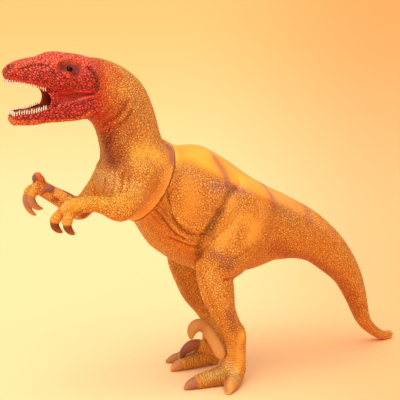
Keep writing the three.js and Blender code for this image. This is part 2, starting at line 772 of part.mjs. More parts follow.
export default figure;
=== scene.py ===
import json
import math

import bpy
import numpy as np
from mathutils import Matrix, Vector
from mathutils.bvhtree import BVHTree


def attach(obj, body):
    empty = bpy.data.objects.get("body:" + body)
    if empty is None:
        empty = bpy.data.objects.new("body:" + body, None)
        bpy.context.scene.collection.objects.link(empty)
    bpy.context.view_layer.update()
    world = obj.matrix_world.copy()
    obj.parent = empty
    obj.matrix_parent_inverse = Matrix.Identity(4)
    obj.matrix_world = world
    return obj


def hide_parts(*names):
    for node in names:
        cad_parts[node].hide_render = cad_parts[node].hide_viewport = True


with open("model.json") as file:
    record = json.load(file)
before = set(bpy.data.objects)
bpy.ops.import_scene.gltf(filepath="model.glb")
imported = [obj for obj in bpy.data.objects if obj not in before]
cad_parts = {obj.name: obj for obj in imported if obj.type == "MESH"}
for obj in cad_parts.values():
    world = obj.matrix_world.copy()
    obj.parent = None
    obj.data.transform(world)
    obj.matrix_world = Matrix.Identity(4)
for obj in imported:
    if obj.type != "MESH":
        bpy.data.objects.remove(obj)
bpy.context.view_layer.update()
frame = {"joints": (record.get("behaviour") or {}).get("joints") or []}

# Shapes are worked out in millimetres, from the point on the floor under the seam's centre, with
# the nose along -X, the left side along -Y and the back up +Z. A mesh gets them in metres.
MM = 0.001
swivel = frame["joints"][0]
seam_axis = np.array(swivel["axis"])
seam_height = swivel["pos_m"][2] / MM
place = np.array([swivel["pos_m"][0], swivel["pos_m"][1], 0])
seam_centre = np.array([0, 0, seam_height])

# Sizes that this file shares with the solids
wall = 2.8
ground_cut = 1.2
clearance = 0.3
seam_radius = 43.5
seam_gap = 0.6
collar_depth = 4
rim_depth = 3
plug_radius = 33
plug_wall = 4
lip_height = 3
lip_depth = 3
lip_front = -collar_depth - clearance
lip_back = lip_front - lip_depth
trunk_length = 306
trunk_half_depth = 60
trunk_half_width = 50
tail_sweep = 14
chest_reach = 52
chest_radius = 42
neck_reach = 71
neck_rise = 102
neck_radius = 31
head_length = 77
head_half_width = 25
head_half_depth = 18
jaw_length = 72
jaw_drop = 26
jaw_half_depth = 12.5
mouth_length = 70
mouth_half_width = 15
mouth_half_height = 20
corner_radius = 9
eye_radius = 3.1
tongue_length = 44
tongue_half_width = 7
tongue_half_depth = 3
gum_radius = 1.3
upper_tooth_count = 38
lower_tooth_count = 34
upper_tooth_length = 3.3
lower_tooth_length = 3.4
shoulder_spread = 36
arm_length = 62
arm_radius = 12
finger_length = 31
finger_radius = 5.4
hip_back = 83
hip_height = 186
stance = 40
thigh_half_width = 21
thigh_half_depth = 33
shin_half_width = 15
shin_half_depth = 18
toe_length = 53
toe_radius = 9
hook_length = 62
hook_radius = 6.2

# Sizes of this file's own: the sides of the squares that skins are fused in, the triangles that
# a skin may have, how far in the skins' and the stuffing's faces lie, and a distance that is
# outside the figure on every side
head_facet = 0.8
front_facet = 0.88
rear_facet = 1.08
stuffing_facet = 2.2
most_triangles = 190000
lining = wall + 1
snug = lining + clearance
outside = 200

LEFT = np.array([0, -1, 0])
RIGHT = np.array([0, 1, 0])
UPRIGHT = np.array([0, 0, 1])
BACK = np.array([1, 0, 0])
head_base = np.array([-neck_reach, 0, seam_height + neck_rise])

# The camera stands where the photograph was taken from.
PHOTO_SIZE = 400
focal_pixels = 1372
camera_azimuth = math.radians(-26)
camera_elevation = math.radians(14)
camera_distance = 1.4
camera_target = np.array([-0.02289, 0.00125, 0.192])
view_right = np.array([math.cos(camera_azimuth), math.sin(camera_azimuth), 0])
view_forward = np.array([
    -math.sin(camera_azimuth) * math.cos(camera_elevation),
    math.cos(camera_azimuth) * math.cos(camera_elevation),
    -math.sin(camera_elevation),
])
view_up = np.cross(view_right, view_forward)
camera_place = camera_target - view_forward * camera_distance


def placed(name, data):
    """A new object in the scene."""
    made = bpy.data.objects.new(name, data)
    bpy.context.scene.collection.objects.link(made)
    return made


def make_camera():
    """The camera, whose lens is to its sensor as the focal length in pixels is to the picture."""
    data = bpy.data.cameras.new("camera")
    data.sensor_width = 36
    data.lens = focal_pixels / PHOTO_SIZE * data.sensor_width
    camera = placed("camera", data)
    camera.location = camera_place
    camera.rotation_euler = (math.pi / 2 - camera_elevation, 0, camera_azimuth)
    bpy.context.scene.camera = camera


# Lines, and how near points are to them


def curve(stops, t):
    """Centripetal Catmull-Rom curve through stops at t from 0 to 1, and its slope. Each span is the
    cubic through its two stops whose end slopes follow the neighbouring ones, spaced by the square
    roots of their distances. Past each end the last span is mirrored."""
    touching = 1e-4
    stops = np.asarray(stops, float)
    padded = np.vstack([2 * stops[0] - stops[1], stops, 2 * stops[-1] - stops[-2]])
    spans = len(stops) - 1
    first = np.minimum((t * spans).astype(int), spans - 1)
    w = (t * spans - first)[:, None]
    before, start, end, after = (padded[first + k] for k in range(4))

    def gap(a, b):
        return np.linalg.norm(b - a, axis=1)[:, None] ** 0.5

    span = gap(start, end)
    span = np.where(span < touching, 1, span)
    lead, trail = gap(before, start), gap(end, after)
    lead = np.where(lead < touching, span, lead)
    trail = np.where(trail < touching, span, trail)
    leave = ((start - before) / lead - (end - before) / (lead + span)) * span + end - start
    arrive = ((after - end) / trail - (after - start) / (span + trail)) * span + end - start
    cubic = 2 * start - 2 * end + leave + arrive
    square = -3 * start + 3 * end - 2 * leave - arrive
    return ((cubic * w + square) * w + leave) * w + start, (3 * cubic * w + 2 * square) * w + leave


def ramp(value, start, end):
    """0 at start and 1 at end, with level ends: 3t squared less 2t cubed."""
    t = np.clip((value - start) / (end - start), 0, 1)
    return t * t * (3 - 2 * t)


def walked_to(line):
    """The way along a line of straight spans to each of its points."""
    return np.concatenate([[0], np.cumsum(np.linalg.norm(np.diff(line, axis=0), axis=1))])


def spread_line(rail, step):
    """A line's points with more set between them, so that its mirror image is as even."""
    walked = walked_to(rail)
    return np.column_stack([np.interp(np.arange(0, walked[-1], step), walked, rail[:, k])
                            for k in range(3)])


def nearest(points, line):
    """Each point's distance to a line of straight spans, and how far along the line it is met."""
    line = np.asarray(line, float)
    best = np.full(len(points), np.inf)
    along = np.zeros(len(points))
    walked = 0
    for start, end in zip(line[:-1], line[1:]):
        span = end - start
        length = np.linalg.norm(span)
        share = np.clip((points - start) @ span / length ** 2, 0, 1)
        away = np.linalg.norm(points - start - share[:, None] * span, axis=1)
        closer = away < best
        best = np.where(closer, away, best)
        along = np.where(closer, walked + share * length, along)
        walked += length
    return best, along


def close_to(points, line, reach):
    """1 on a line, falling to 0 at reach away by the square of 1 less the squared share of it."""
    line = np.asarray(line, float)
    weight = np.zeros(len(points))
    near = np.all((points > line.min(0) - reach) & (points < line.max(0) + reach), axis=1)
    share = nearest(points[near], line)[0] / reach
    weight[near] = np.clip(1 - share ** 2, 0, 1) ** 2
    return weight


def mirrored(points):
    """The same points on the other side of the middle plane."""
    return points * [1, -1, 1]


def both_sides(points, line, reach):
    """As close_to, for a line and its mirror image together."""
    return np.maximum(close_to(points, line, reach), close_to(points, mirrored(line), reach))


# Closed skins, as points and faces


def signed_power(value, power):
    """A value's size raised to a power, with its sign kept."""
    return np.sign(value) * np.abs(value) ** power


def loft(stations, sideways, sides=40, count=48, square=(2, 2), ends=(0.8, 0.8)):
    """A closed skin through stations of centre, half width, height above and depth below. A section
    is a superellipse, cos and sin of the angle raised to 2 over its squareness above or below, set
    square to the line of centres. Each end is a dome, whose rings shrink by the cosine as they
    move out by the sine of an angle."""
    stations = np.asarray(stations, float)
    dome_rings = 5
    t = np.linspace(0, 1, count + 1)
    centre, along = curve(stations[:, :3], t)
    reach = curve(stations[:, 3:], t)[0]
    along /= np.linalg.norm(along, axis=1)[:, None]
    bulge = np.minimum(reach[:, 0], reach[:, 1])[[0, -1]] * ends
    angle = np.linspace(0, math.pi / 2, dome_rings, endpoint=False)[1:]
    start, end = np.zeros(len(angle), int), np.full(len(angle), count)
    rings = np.concatenate([start, np.arange(count + 1), end])
    shrink = np.concatenate([np.cos(angle[::-1]), np.ones(count + 1), np.cos(angle)])
    shift = np.concatenate([-bulge[0] * np.sin(angle[::-1]), np.zeros(count + 1),
                            bulge[1] * np.sin(angle)])
    centre, along, reach = centre[rings], along[rings], reach[rings] * shrink[:, None]
    centre = centre + along * shift[:, None]
    across = sideways - along * (along @ sideways)[:, None]
    across /= np.linalg.norm(across, axis=1)[:, None]
    upward = np.cross(along, across)
    turn = (np.arange(sides) + 0.5) / sides * 2 * math.pi
    above = np.sin(turn) > 0
    power = np.where(above, 2 / square[0], 2 / square[1])
    side = signed_power(np.cos(turn), power) * reach[:, :1]
    rise = signed_power(np.sin(turn), power) * np.where(above, reach[:, 1:2], reach[:, 2:3])
    points = centre[:, None] + side[..., None] * across[:, None] + rise[..., None] * upward[:, None]
    poles = [centre[0] - along[0] * bulge[0] * (1 - math.sin(angle[-1])),
             centre[-1] + along[-1] * bulge[1] * (1 - math.sin(angle[-1]))]
    return closed_grid(points, poles)


def closed_grid(points, poles):
    """Faces over a grid of rings that run round a solid, closed by a fan to a pole at each end."""
    rings, sides = points.shape[:2]
    index = np.arange(rings * sides).reshape(rings, sides)
    turned = np.roll(index, -1, axis=1)
    quads = np.stack([index[:-1], turned[:-1], turned[1:], index[1:]], axis=-1).reshape(-1, 4)
    first, last = rings * sides, rings * sides + 1
    near = np.stack([np.full(sides, first), turned[0], index[0]], axis=-1)
    far = np.stack([np.full(sides, last), index[-1], turned[-1]], axis=-1)
    verts = np.vstack([points.reshape(-1, 3), poles])
    return verts, quads.tolist() + near.tolist() + far.tolist()


def grouped(parts):
    """Several closed skins as one list of points and faces."""
    verts, faces, start = [], [], 0
    for points, polygons in parts:
        verts.append(points)
        faces += [[start + i for i in polygon] for polygon in polygons]
        start += len(points)
    return np.vstack(verts), faces


def turned(profile):
    """A solid turned about the seam's axis from radii and distances forward of the seam, which
    start and end on the axis."""
    angle = np.linspace(0, 2 * math.pi, 144, endpoint=False)
    side = np.cross(RIGHT, seam_axis)
    circle = np.cos(angle)[:, None] * side + np.sin(angle)[:, None] * np.cross(seam_axis, side)
    rings = np.array([seam_centre + seam_axis * forward + circle * radius
                      for radius, forward in profile[1:-1]])
    poles = [seam_centre + seam_axis * profile[k][1] for k in (0, -1)]
    return closed_grid(rings, poles)


def disc(radius, low, high):
    """A flat round solid on the seam's axis between two distances forward of the seam."""
    return turned([(0, low), (radius, low), (radius, high), (0, high)])


def rod(centre, radius, half_length):
    """A closed cylinder across the body: rings of a circle at two places along Y."""
    sides = 48
    turn = np.linspace(0, 2 * math.pi, sides, endpoint=False)
    circle = np.column_stack([np.cos(turn), np.zeros(sides), -np.sin(turn)]) * radius
    ends = [centre - RIGHT * half_length, centre + RIGHT * half_length]
    return closed_grid(np.array([circle + end for end in ends]), ends)


# Objects, and what is done to a whole one


def new_object(name, verts, faces):
    """An object at the origin from points in millimetres, with its place in its mesh."""
    mesh = bpy.data.meshes.new(name)
    mesh.from_pydata(verts * MM + place, [], faces)
    mesh.validate()
    return placed(name, mesh)


def finished(made):
    """Applies an object's modifiers to its mesh."""
    graph = bpy.context.evaluated_depsgraph_get()
    mesh = bpy.data.meshes.new_from_object(made.evaluated_get(graph))
    old = made.data
    made.modifiers.clear()
    made.data = mesh
    bpy.data.meshes.remove(old)
    return made


def fused(made, facet):
    """The one outer skin of overlapping skins, in even squares with sides of that length."""
    remesh = made.modifiers.new("fuse", "REMESH")
    remesh.mode = "VOXEL"
    remesh.voxel_size = facet * MM
    return finished(made)


def carved(made, cutter, operation="DIFFERENCE"):
    """Cuts a solid with another, or adds it, and removes the other."""
    boolean = made.modifiers.new("carve", "BOOLEAN")
    boolean.object = cutter
    boolean.operation = operation
    boolean.solver = "MANIFOLD"
    finished(made)
    bpy.data.objects.remove(cutter)
    return made


def joined(objects):
    """Several objects as the first, with the others' meshes added to it."""
    with bpy.context.temp_override(active_object=objects[0], selected_editable_objects=objects):
        bpy.ops.object.join()
    return objects[0]


def thinned(made, triangles):
    """Merges the flattest faces until no more than that many triangles are left."""
    decimate = made.modifiers.new("thin", "DECIMATE")
    decimate.ratio = min(1, triangles / sum(len(face.vertices) - 2 for face in made.data.polygons))
    return finished(made)


# Stations: a table's rows are shares of the sizes above, which the function after it multiplies.


def rows(shares, *scales):
    """Table rows times the sizes that their columns are shares of."""
    return np.asarray(shares, float) * scales


# Torso and tail: shares of length back, sweep to the right and seam height, then of the half
# width and of the half depth up and down.
trunk_shares = [
    [0.104, 0, 0.913, 0.98, 0.94, 0.96],
    [0.203, 0, 0.835, 1, 0.92, 1.03],
    [0.301, 0, 0.778, 0.92, 0.81, 0.98],
    [0.389, 0.03, 0.739, 0.8, 0.7, 0.85],
    [0.48, 0.08, 0.706, 0.66, 0.58, 0.62],
    [0.572, 0.14, 0.665, 0.54, 0.455, 0.51],
    [0.65, 0.22, 0.601, 0.45, 0.375, 0.42],
    [0.716, 0.32, 0.511, 0.39, 0.34, 0.345],
    [0.78, 0.45, 0.404, 0.31, 0.265, 0.265],
    [0.823, 0.6, 0.288, 0.25, 0.21, 0.21],
    [0.865, 0.76, 0.142, 0.18, 0.138, 0.138],
    [0.893, 0.86, 0.092, 0.15, 0.112, 0.112],
    [0.931, 0.93, 0.047, 0.125, 0.095, 0.095],
    [0.966, 0.97, 0.02, 0.11, 0.087, 0.087],
    [0.995, 1, 0.024, 0.085, 0.068, 0.068],
]


def on_middle(back, up):
    """Centres in the middle plane."""
    return np.column_stack([back, np.zeros(len(back)), up])


def round_stations(centres, radius):
    """Stations of round sections."""
    return np.hstack([centres, radius, radius, radius])


def through_seam(direction):
    """Three stations that carry the round section straight through the seam: 0.4 of its radius on
    the other side of it, at it, and 0.2 of its radius on the own side."""
    steps = direction * seam_radius * np.array([-0.4, 0, 0.2])
    centres = seam_centre + steps[:, None] * seam_axis
    return np.hstack([centres, np.full((3, 3), seam_radius)])


def trunk_stations():
    """Back from the seam to the tail's end, which is kept up to lie on the floor."""
    back = rows(trunk_shares, trunk_length, tail_sweep, seam_height, trunk_half_width,
                trunk_half_depth, trunk_half_depth)
    back[:, 2] = np.maximum(back[:, 2], back[:, 5] - ground_cut / 2)
    return np.vstack([through_seam(-1), back])


# Chest: shares of its reach along the seam's axis, then of its radius across, up and down.
chest_shares = [
    [0.36, 1.03, 1, 1],
    [0.6, 0.95, 0.93, 0.95],
    [0.8, 0.74, 0.72, 0.78],
]


def chest_stations():
    """Forward from the seam along its axis."""
    reach = rows(chest_shares, chest_reach, chest_radius, chest_radius, chest_radius)
    centres = seam_centre + reach[:, :1] * seam_axis
    return np.vstack([through_seam(1), np.hstack([centres, reach[:, 1:]])])


# Neck: shares of its reach forward and of its rise, then of its radius across, up and down.
neck_shares = [
    [0.15, 0.04, 1.2, 1.15, 1.15],
    [0.24, 0.22, 1.15, 1.12, 1.06],
    [0.28, 0.37, 1, 1.06, 0.96],
    [0.31, 0.51, 0.9, 0.99, 0.99],
    [0.38, 0.66, 0.86, 1.01, 0.98],
    [0.48, 0.79, 0.84, 1.04, 0.98],
    [0.63, 0.9, 0.82, 0.98, 1],
    [0.82, 0.97, 0.81, 0.92, 0.96],
    [1, 1, 0.79, 0.84, 0.88],
]


def neck_stations():
    """Forward and up from the seam to the head's base."""
    reach = rows(neck_shares, -neck_reach, neck_rise, neck_radius, neck_radius, neck_radius)
    return np.hstack([on_middle(reach[:, 0], seam_height + reach[:, 1]), reach[:, 2:]])


# Skull, jaw, cheek and the space of the mouth, in the columns that head_stations names
skull_shares = [
    [-0.15, 0.1, 1.02, 1.16],
    [-0.05, 0.5, 1, 0.98],
    [0.15, 0.75, 0.92, 0.97],
    [0.34, 0.83, 0.8, 0.98],
    [0.5, 0.83, 0.68, 0.85],
    [0.675, 0.94, 0.58, 0.68],
    [0.84, 0.95, 0.47, 0.5],
    [0.94, 0.84, 0.36, 0.36],
]
jaw_shares = [
    [-0.24, 0.77, 0.96, 1.2],
    [-0.04, 0.79, 0.93, 1],
    [0.16, 0.865, 0.86, 0.92],
    [0.33, 0.925, 0.76, 0.8],
    [0.53, 1, 0.66, 0.64],
    [0.71, 1.08, 0.56, 0.56],
    [0.86, 1.07, 0.47, 0.52],
    [0.965, 1.08, 0.4, 0.48],
]
cheek_shares = [
    [-0.08, 0.31, 0.86, 0.32],
    [0.13, 0.33, 0.77, 0.42],
    [0.29, 0.35, 0.7, 0.6],
    [0.44, 0.37, 0.62, 0.84],
    [0.6, 0.4, 0.56, 1],
]
mouth_shares = [
    [0.13, 0.45, 0.55, 0.28],
    [0.3, 0.46, 0.72, 0.52],
    [0.49, 0.46, 0.74, 0.72],
    [0.66, 0.44, 0.76, 0.84],
    [0.86, 0.37, 0.62, 0.92],
    [1.02, 0.33, 0.42, 0.95],
]


def head_stations(shares, length, rise, half_width, half_depth):
    """Stations forward from the head's base: shares of a length forward, of a rise, of a half
    width and of a half depth."""
    reach = rows(shares, -length, rise, half_width, half_depth)
    centres = head_base + on_middle(reach[:, 0], reach[:, 1])
    return np.hstack([centres, reach[:, 2:3], reach[:, 3:4], reach[:, 3:4]])


def skull_stations():
    """The skull, from the nape to the snout."""
    return head_stations(skull_shares, head_length, head_half_depth, head_half_width,
                         head_half_depth)


def jaw_stations():
    """The lower jaw, from the throat to the chin."""
    return head_stations(jaw_shares, jaw_length, -jaw_drop, head_half_width, jaw_half_depth)


def cheek_stations():
    """The thin skin between the jaws behind the mouth's corner."""
    return head_stations(cheek_shares, jaw_length, -jaw_drop, head_half_width, jaw_half_depth)


def mouth_stations():
    """The open space between the jaws."""
    return head_stations(mouth_shares, mouth_length, -mouth_half_height, mouth_half_width,
                         mouth_half_height)


# Arms: shares of arm length forward and up, of the spread out to the side and of the arm's radius.
left_arm_shares = [
    [0.42, -0.25, 0.9, 1.75],
    [0.6, 0, 1.11, 1.42],
    [0.77, 0.22, 1.24, 1.04],
    [0.89, 0.21, 1.26, 0.9],
    [1.03, 0.14, 1.25, 0.78],
    [1.24, 0.09, 1.21, 0.64],
    [1.43, 0.09, 1.17, 0.65],
    [1.6, 0.12, 1.12, 0.66],
    [1.67, 0.15, 1.1, 0.5],
]
right_arm_shares = [
    [0.36, -0.2, 0.88, 1.5],
    [0.58, 0.15, 1.06, 1.14],
    [0.82, 0.45, 1.2, 0.95],
    [0.92, 0.54, 1.22, 0.88],
    [1.06, 0.46, 1.2, 0.9],
    [1.23, 0.33, 1.16, 0.78],
    [1.42, 0.21, 1.1, 0.68],
    [1.58, 0.1, 1.05, 0.66],
    [1.7, 0.03, 1.02, 0.5],
]
# Fingers from the palm: shares of finger length forward, out and up, then of the finger's radius
left_fingers = [
    [[0, 0, 0, 0.95], [0.1, 0.12, -0.25, 0.95], [0.15, 0.13, -0.43, 0.95],
     [0.14, 0.13, -0.57, 0.85], [0.03, 0.13, -0.73, 0.66], [-0.07, 0.13, -0.8, 0.38]],
    [[0, -0.15, 0, 0.95], [0.28, -0.2, -0.25, 0.95], [0.42, -0.25, -0.45, 0.95],
     [0.4, -0.25, -0.6, 0.82], [0.29, -0.25, -0.74, 0.62], [0.19, -0.25, -0.81, 0.36]],
    [[-0.2, -0.25, 0.05, 0.95], [0.06, -0.42, 0.27, 0.85], [0.28, -0.52, 0.44, 0.8],
     [0.45, -0.57, 0.52, 0.75], [0.61, -0.6, 0.46, 0.56], [0.69, -0.6, 0.35, 0.34]],
]
right_fingers = [
    [[0, 0.05, 0, 0.9], [0.35, 0.12, 0, 0.9], [0.5, 0.13, -0.2, 0.9], [0.51, 0.13, -0.45, 0.8],
     [0.4, 0.13, -0.72, 0.58], [0.24, 0.13, -0.87, 0.34]],
    [[0, -0.08, 0, 0.9], [0.33, -0.1, -0.02, 0.9], [0.45, -0.12, -0.25, 0.88],
     [0.36, -0.12, -0.46, 0.76], [0.21, -0.12, -0.58, 0.56], [0.09, -0.12, -0.61, 0.34]],
    [[-0.02, -0.1, 0, 0.85], [0.1, -0.24, 0.25, 0.74], [0.19, -0.3, 0.44, 0.72],
     [0.29, -0.33, 0.55, 0.68], [0.4, -0.33, 0.48, 0.52], [0.4, -0.33, 0.33, 0.34]],
]


def arm_stations(side, arm_shares, fingers):
    """Shoulder to palm, then each finger from the palm."""
    reach = rows(arm_shares, -arm_length, -arm_length, shoulder_spread, arm_radius)
    centres = np.column_stack([reach[:, 0], reach[:, 2] * side[1], seam_height + reach[:, 1]])
    palm = centres[-2]
    lines = [round_stations(centres, reach[:, 3:])]
    for shares in fingers:
        line = rows(shares, -finger_length, finger_length * side[1], finger_length, finger_radius)
        lines.append(round_stations(palm + line[:, :3], line[:, 3:]))
    return lines


def arm_lofts(side, stations):
    """The arm and its fingers, each a loft."""
    arm, *fingers = stations
    return [loft(arm, RIGHT)] + [loft(finger, side, sides=24, count=30) for finger in fingers]


# Legs: shares of hip height back from the hip, of the stance out, of hip height up, and of the half
# width and half depth; the last column is how much further back the right leg is.
thigh_shares = [
    [0.13, 0.58, 1.08, 0.9, 1, 0],
    [0.06, 0.7, 0.985, 1.02, 1.12, 0.005],
    [-0.02, 0.83, 0.86, 1.03, 1.08, 0.015],
    [-0.09, 0.93, 0.765, 0.98, 0.88, 0.02],
    [-0.14, 0.98, 0.705, 0.86, 0.66, 0.02],
]
shin_shares = [
    [-0.175, 0.95, 0.74, 0.95, 0.9, 0.02],
    [-0.155, 1, 0.645, 1.02, 1.03, 0.02],
    [-0.132, 1, 0.554, 0.92, 0.94, 0.02],
    [-0.1, 0.98, 0.446, 0.75, 0.73, 0.015],
    [-0.05, 0.93, 0.344, 0.64, 0.66, 0.035],
    [-0.022, 0.88, 0.29, 0.64, 0.73, 0.045],
    [-0.016, 0.85, 0.226, 0.6, 0.7, 0.05],
    [-0.016, 0.82, 0.15, 0.68, 0.72, 0.05],
    [-0.02, 0.8, 0.08, 0.82, 0.78, 0.05],
]
# Toes from the shin's foot: shares of toe length forward and out, then of the toe's radius
left_toes = [
    [[0.08, -0.02, 1.35], [0.36, -0.07, 1.03], [0.6, -0.08, 0.9], [0.79, -0.085, 0.78],
     [0.92, -0.088, 0.54], [1, -0.09, 0.26]],
    [[0.02, 0.06, 1.3], [0.14, 0.24, 0.92], [0.24, 0.36, 0.82], [0.31, 0.44, 0.64],
     [0.35, 0.5, 0.34]],
]
right_toes = [
    [[0.1, -0.02, 1.35], [0.4, -0.075, 1.03], [0.62, -0.09, 0.9], [0.8, -0.1, 0.76],
     [0.93, -0.107, 0.52], [1, -0.11, 0.24]],
    [[0.1, 0.05, 1.2], [0.36, 0.19, 0.9], [0.58, 0.28, 0.78], [0.75, 0.34, 0.56],
     [0.88, 0.38, 0.26]],
]
# Hook toes: shares of hook length forward, out and up from the floor, then of the hook's radius
left_hook_shares = [
    [0.28, 0.1, 0.58, 0.9],
    [0.31, 0.08, 0.67, 1],
    [0.35, 0.04, 0.78, 1.05],
    [0.42, -0.02, 0.94, 1.08],
    [0.5, -0.07, 1.06, 1.06],
    [0.6, -0.08, 1.1, 1.12],
    [0.68, -0.08, 1.07, 1.08],
    [0.725, -0.08, 0.99, 0.84],
    [0.735, -0.08, 0.89, 0.42],
]
right_hook_shares = [
    [0.03, -0.06, 0.08, 1.2],
    [0.13, -0.1, 0.21, 1.15],
    [0.24, -0.1, 0.34, 1.1],
    [0.36, -0.1, 0.42, 1.08],
    [0.5, -0.1, 0.41, 0.98],
    [0.62, -0.1, 0.33, 0.72],
    [0.665, -0.1, 0.25, 0.42],
]


def leg_stations(side, shares, half_width, half_depth):
    """Down a thigh or a shin."""
    back, out, height, wide, deep, trail = np.asarray(shares, float).T
    x = hip_back + (back + (trail if side[1] > 0 else 0)) * hip_height
    return np.column_stack([x, out * stance * side[1], height * hip_height, wide * half_width,
                            deep * half_depth, deep * half_depth])


def foot_stations(side, toes, hook_shares):
    """Shin, hook toe and the toes that lie on the floor."""
    shin = leg_stations(side, shin_shares, shin_half_width, shin_half_depth)
    foot = shin[-1, :3]
    hook = rows(hook_shares, -hook_length, hook_length * side[1], hook_length, hook_radius)
    hook[:, :2] += foot[:2]
    lines = [shin, round_stations(hook[:, :3], hook[:, 3:])]
    for shares in toes:
        line = rows(shares, -toe_length, toe_length * side[1], toe_radius)
        centres = np.column_stack([foot[0] + line[:, 0], foot[1] + line[:, 1],
                                   line[:, 2] - ground_cut / 2])
        lines.append(round_stations(centres, line[:, 2:]))
    return lines


def leg_lofts(side, stations):
    """Thigh, shin, hook toe and the toes that lie on the floor, each a loft."""
    shin, hook, *toes = stations
    thigh = leg_stations(side, thigh_shares, thigh_half_width, thigh_half_depth)
    parts = [loft(thigh, LEFT, ends=(0.5, 0.8)), loft(shin, LEFT, ends=(0.5, 0.8)),
             loft(hook, RIGHT, sides=28, count=36)]
    for toe in toes:
        sideways = np.cross((toe[0, :3] - toe[4, :3]) * [1, 1, 0], UPRIGHT)
        parts.append(loft(toe, sideways / np.linalg.norm(sideways), sides=28, count=30))
    return parts


left_arm = arm_stations(LEFT, left_arm_shares, left_fingers)
right_arm = arm_stations(RIGHT, right_arm_shares, right_fingers)
left_foot = foot_stations(LEFT, left_toes, left_hook_shares)
right_foot = foot_stations(RIGHT, right_toes, right_hook_shares)


# Sculpting the fused skins


def neighbour_mean(edges, values):
    """The mean of the neighbours' values at each point."""
    one, two = edges.T
    count = np.maximum(np.bincount(edges.ravel(), minlength=len(values)), 1)
    total = np.stack([np.bincount(one, weights=column[two], minlength=len(values))
                      + np.bincount(two, weights=column[one], minlength=len(values))
                      for column in values.T], axis=1)
    return total / count[:, None]


def read_values(items, name, width=1, kind=np.float32):
    """One property of every item of a mesh, as an array with that many columns."""
    values = np.empty(len(items) * width, kind)
    items.foreach_get(name, values)
    return values.reshape(-1, width)


class Clay:
    """A fused mesh of squares whose points, in millimetres, are moved as whole arrays."""

    def __init__(self, made):
        self.made = made
        self.mesh = made.data
        self.points = read_values(self.mesh.vertices, "co", 3) / MM - place / MM
        self.edges = read_values(self.mesh.edges, "vertices", 2, np.int32)
        self.faces = read_values(self.mesh.loops, "vertex_index", kind=np.int32).reshape(-1, 4)

    def relax(self, times, weight=1.0):
        """Moves each point six tenths of the way to the mean of its neighbours, times over."""
        share = 0.6
        weight = np.broadcast_to(weight, len(self.points))[:, None]
        for _ in range(times):
            self.points += (neighbour_mean(self.edges, self.points) - self.points) * share * weight

    def normals(self):
        """Each point's normal: the sum of its faces' diagonals crossed."""
        a, b, c, d = (self.points[self.faces[:, k]] for k in range(4))
        face = np.cross(c - a, d - b)
        total = np.zeros_like(self.points)
        for k in range(4):
            for axis in range(3):
                total[:, axis] += np.bincount(self.faces[:, k], weights=face[:, axis],
                                              minlength=len(total))
        return total / np.maximum(np.linalg.norm(total, axis=1), 1e-9)[:, None]

    def surface(self):
        """A search tree over the faces, in metres, for lines drawn on the skin."""
        return BVHTree.FromPolygons((self.points * MM + place).tolist(), self.faces.tolist())

    def stroke(self, line, reach, depth):
        """Raises both sides' skin along a line, by the full depth there and by less beside it. Skin
        that faces the middle, as inside the mouth, stays."""
        weight = both_sides(self.points, spread_line(line, reach / 3), reach)
        normals = self.normals()
        outer = ramp(normals[:, 1] * np.sign(self.points[:, 1]), -0.5, -0.15)
        self.points += normals * (weight * outer * depth)[:, None]

    def store(self):
        """Puts the points back into the mesh."""
        self.mesh.vertices.foreach_set("co", (self.points * MM + place).astype(np.float32).ravel())
        self.mesh.update()
        return self.made


def on_skin(surface, spots):
    """Places on the skin under spots of the photograph, each found by a ray from the camera."""
    across, down = np.array(spots).T[:, :, None] - PHOTO_SIZE / 2
    rays = view_forward + (view_right * across - view_up * down) / focal_pixels
    hits = [surface.ray_cast(Vector(camera_place), Vector(ray).normalized())[0] for ray in rays]
    return (np.array(hits) - place) / MM


def limb_marks(points, limbs):
    """For each point, its distance from the nearest limb's centre line as a share of the limb's
    radius there, how much nearer it is than the next limb, the millimetres and the share of length
    along it, and the limb's number."""
    unseen = 9.0
    best, second = np.full((2, len(points)), unseen)
    along, share, which = np.zeros(len(points)), np.zeros(len(points)), np.full(len(points), -1)
    for number, stations in enumerate(limbs):
        line = curve(stations[:, :4], np.linspace(0, 1, 33))[0]
        walked = walked_to(line[:, :3])
        margin = 2 * line[:, 3].max()
        near = np.nonzero(np.all((points > line[:, :3].min(0) - margin)
                                 & (points < line[:, :3].max(0) + margin), axis=1))[0]
        away, place_on = nearest(points[near], line[:, :3])
        ratio = away / np.interp(place_on, walked, line[:, 3])
        chosen = ratio < best[near]
        closer = near[chosen]
        second[near] = np.where(chosen, best[near], np.minimum(second[near], ratio))
        best[closer] = ratio[chosen]
        along[closer] = place_on[chosen]
        share[closer] = place_on[chosen] / walked[-1]
        which[closer] = number
    return best, second - best, along, share, which


def ring_groove(clay, limbs, claws):
    """Cuts a shallow step round each claw's base, whose depth falls again along the claw, and pulls
    the claw in a little. Both are ramps of the share of length along the finger or toe."""
    step, pull, widest = 0.5, 0.25, 1.7
    best, _, along, share, which = limb_marks(clay.points, limbs)
    depth = np.zeros(len(clay.points))
    for number, start in claws.items():
        mine = (which == number) & (best < widest)
        depth += mine * (ramp(share, start - 0.05, start) * ramp(share, start + 0.14, start) * step
                         + ramp(share, start - 0.04, start + 0.01) * pull)
    clay.points -= clay.normals() * depth[:, None]


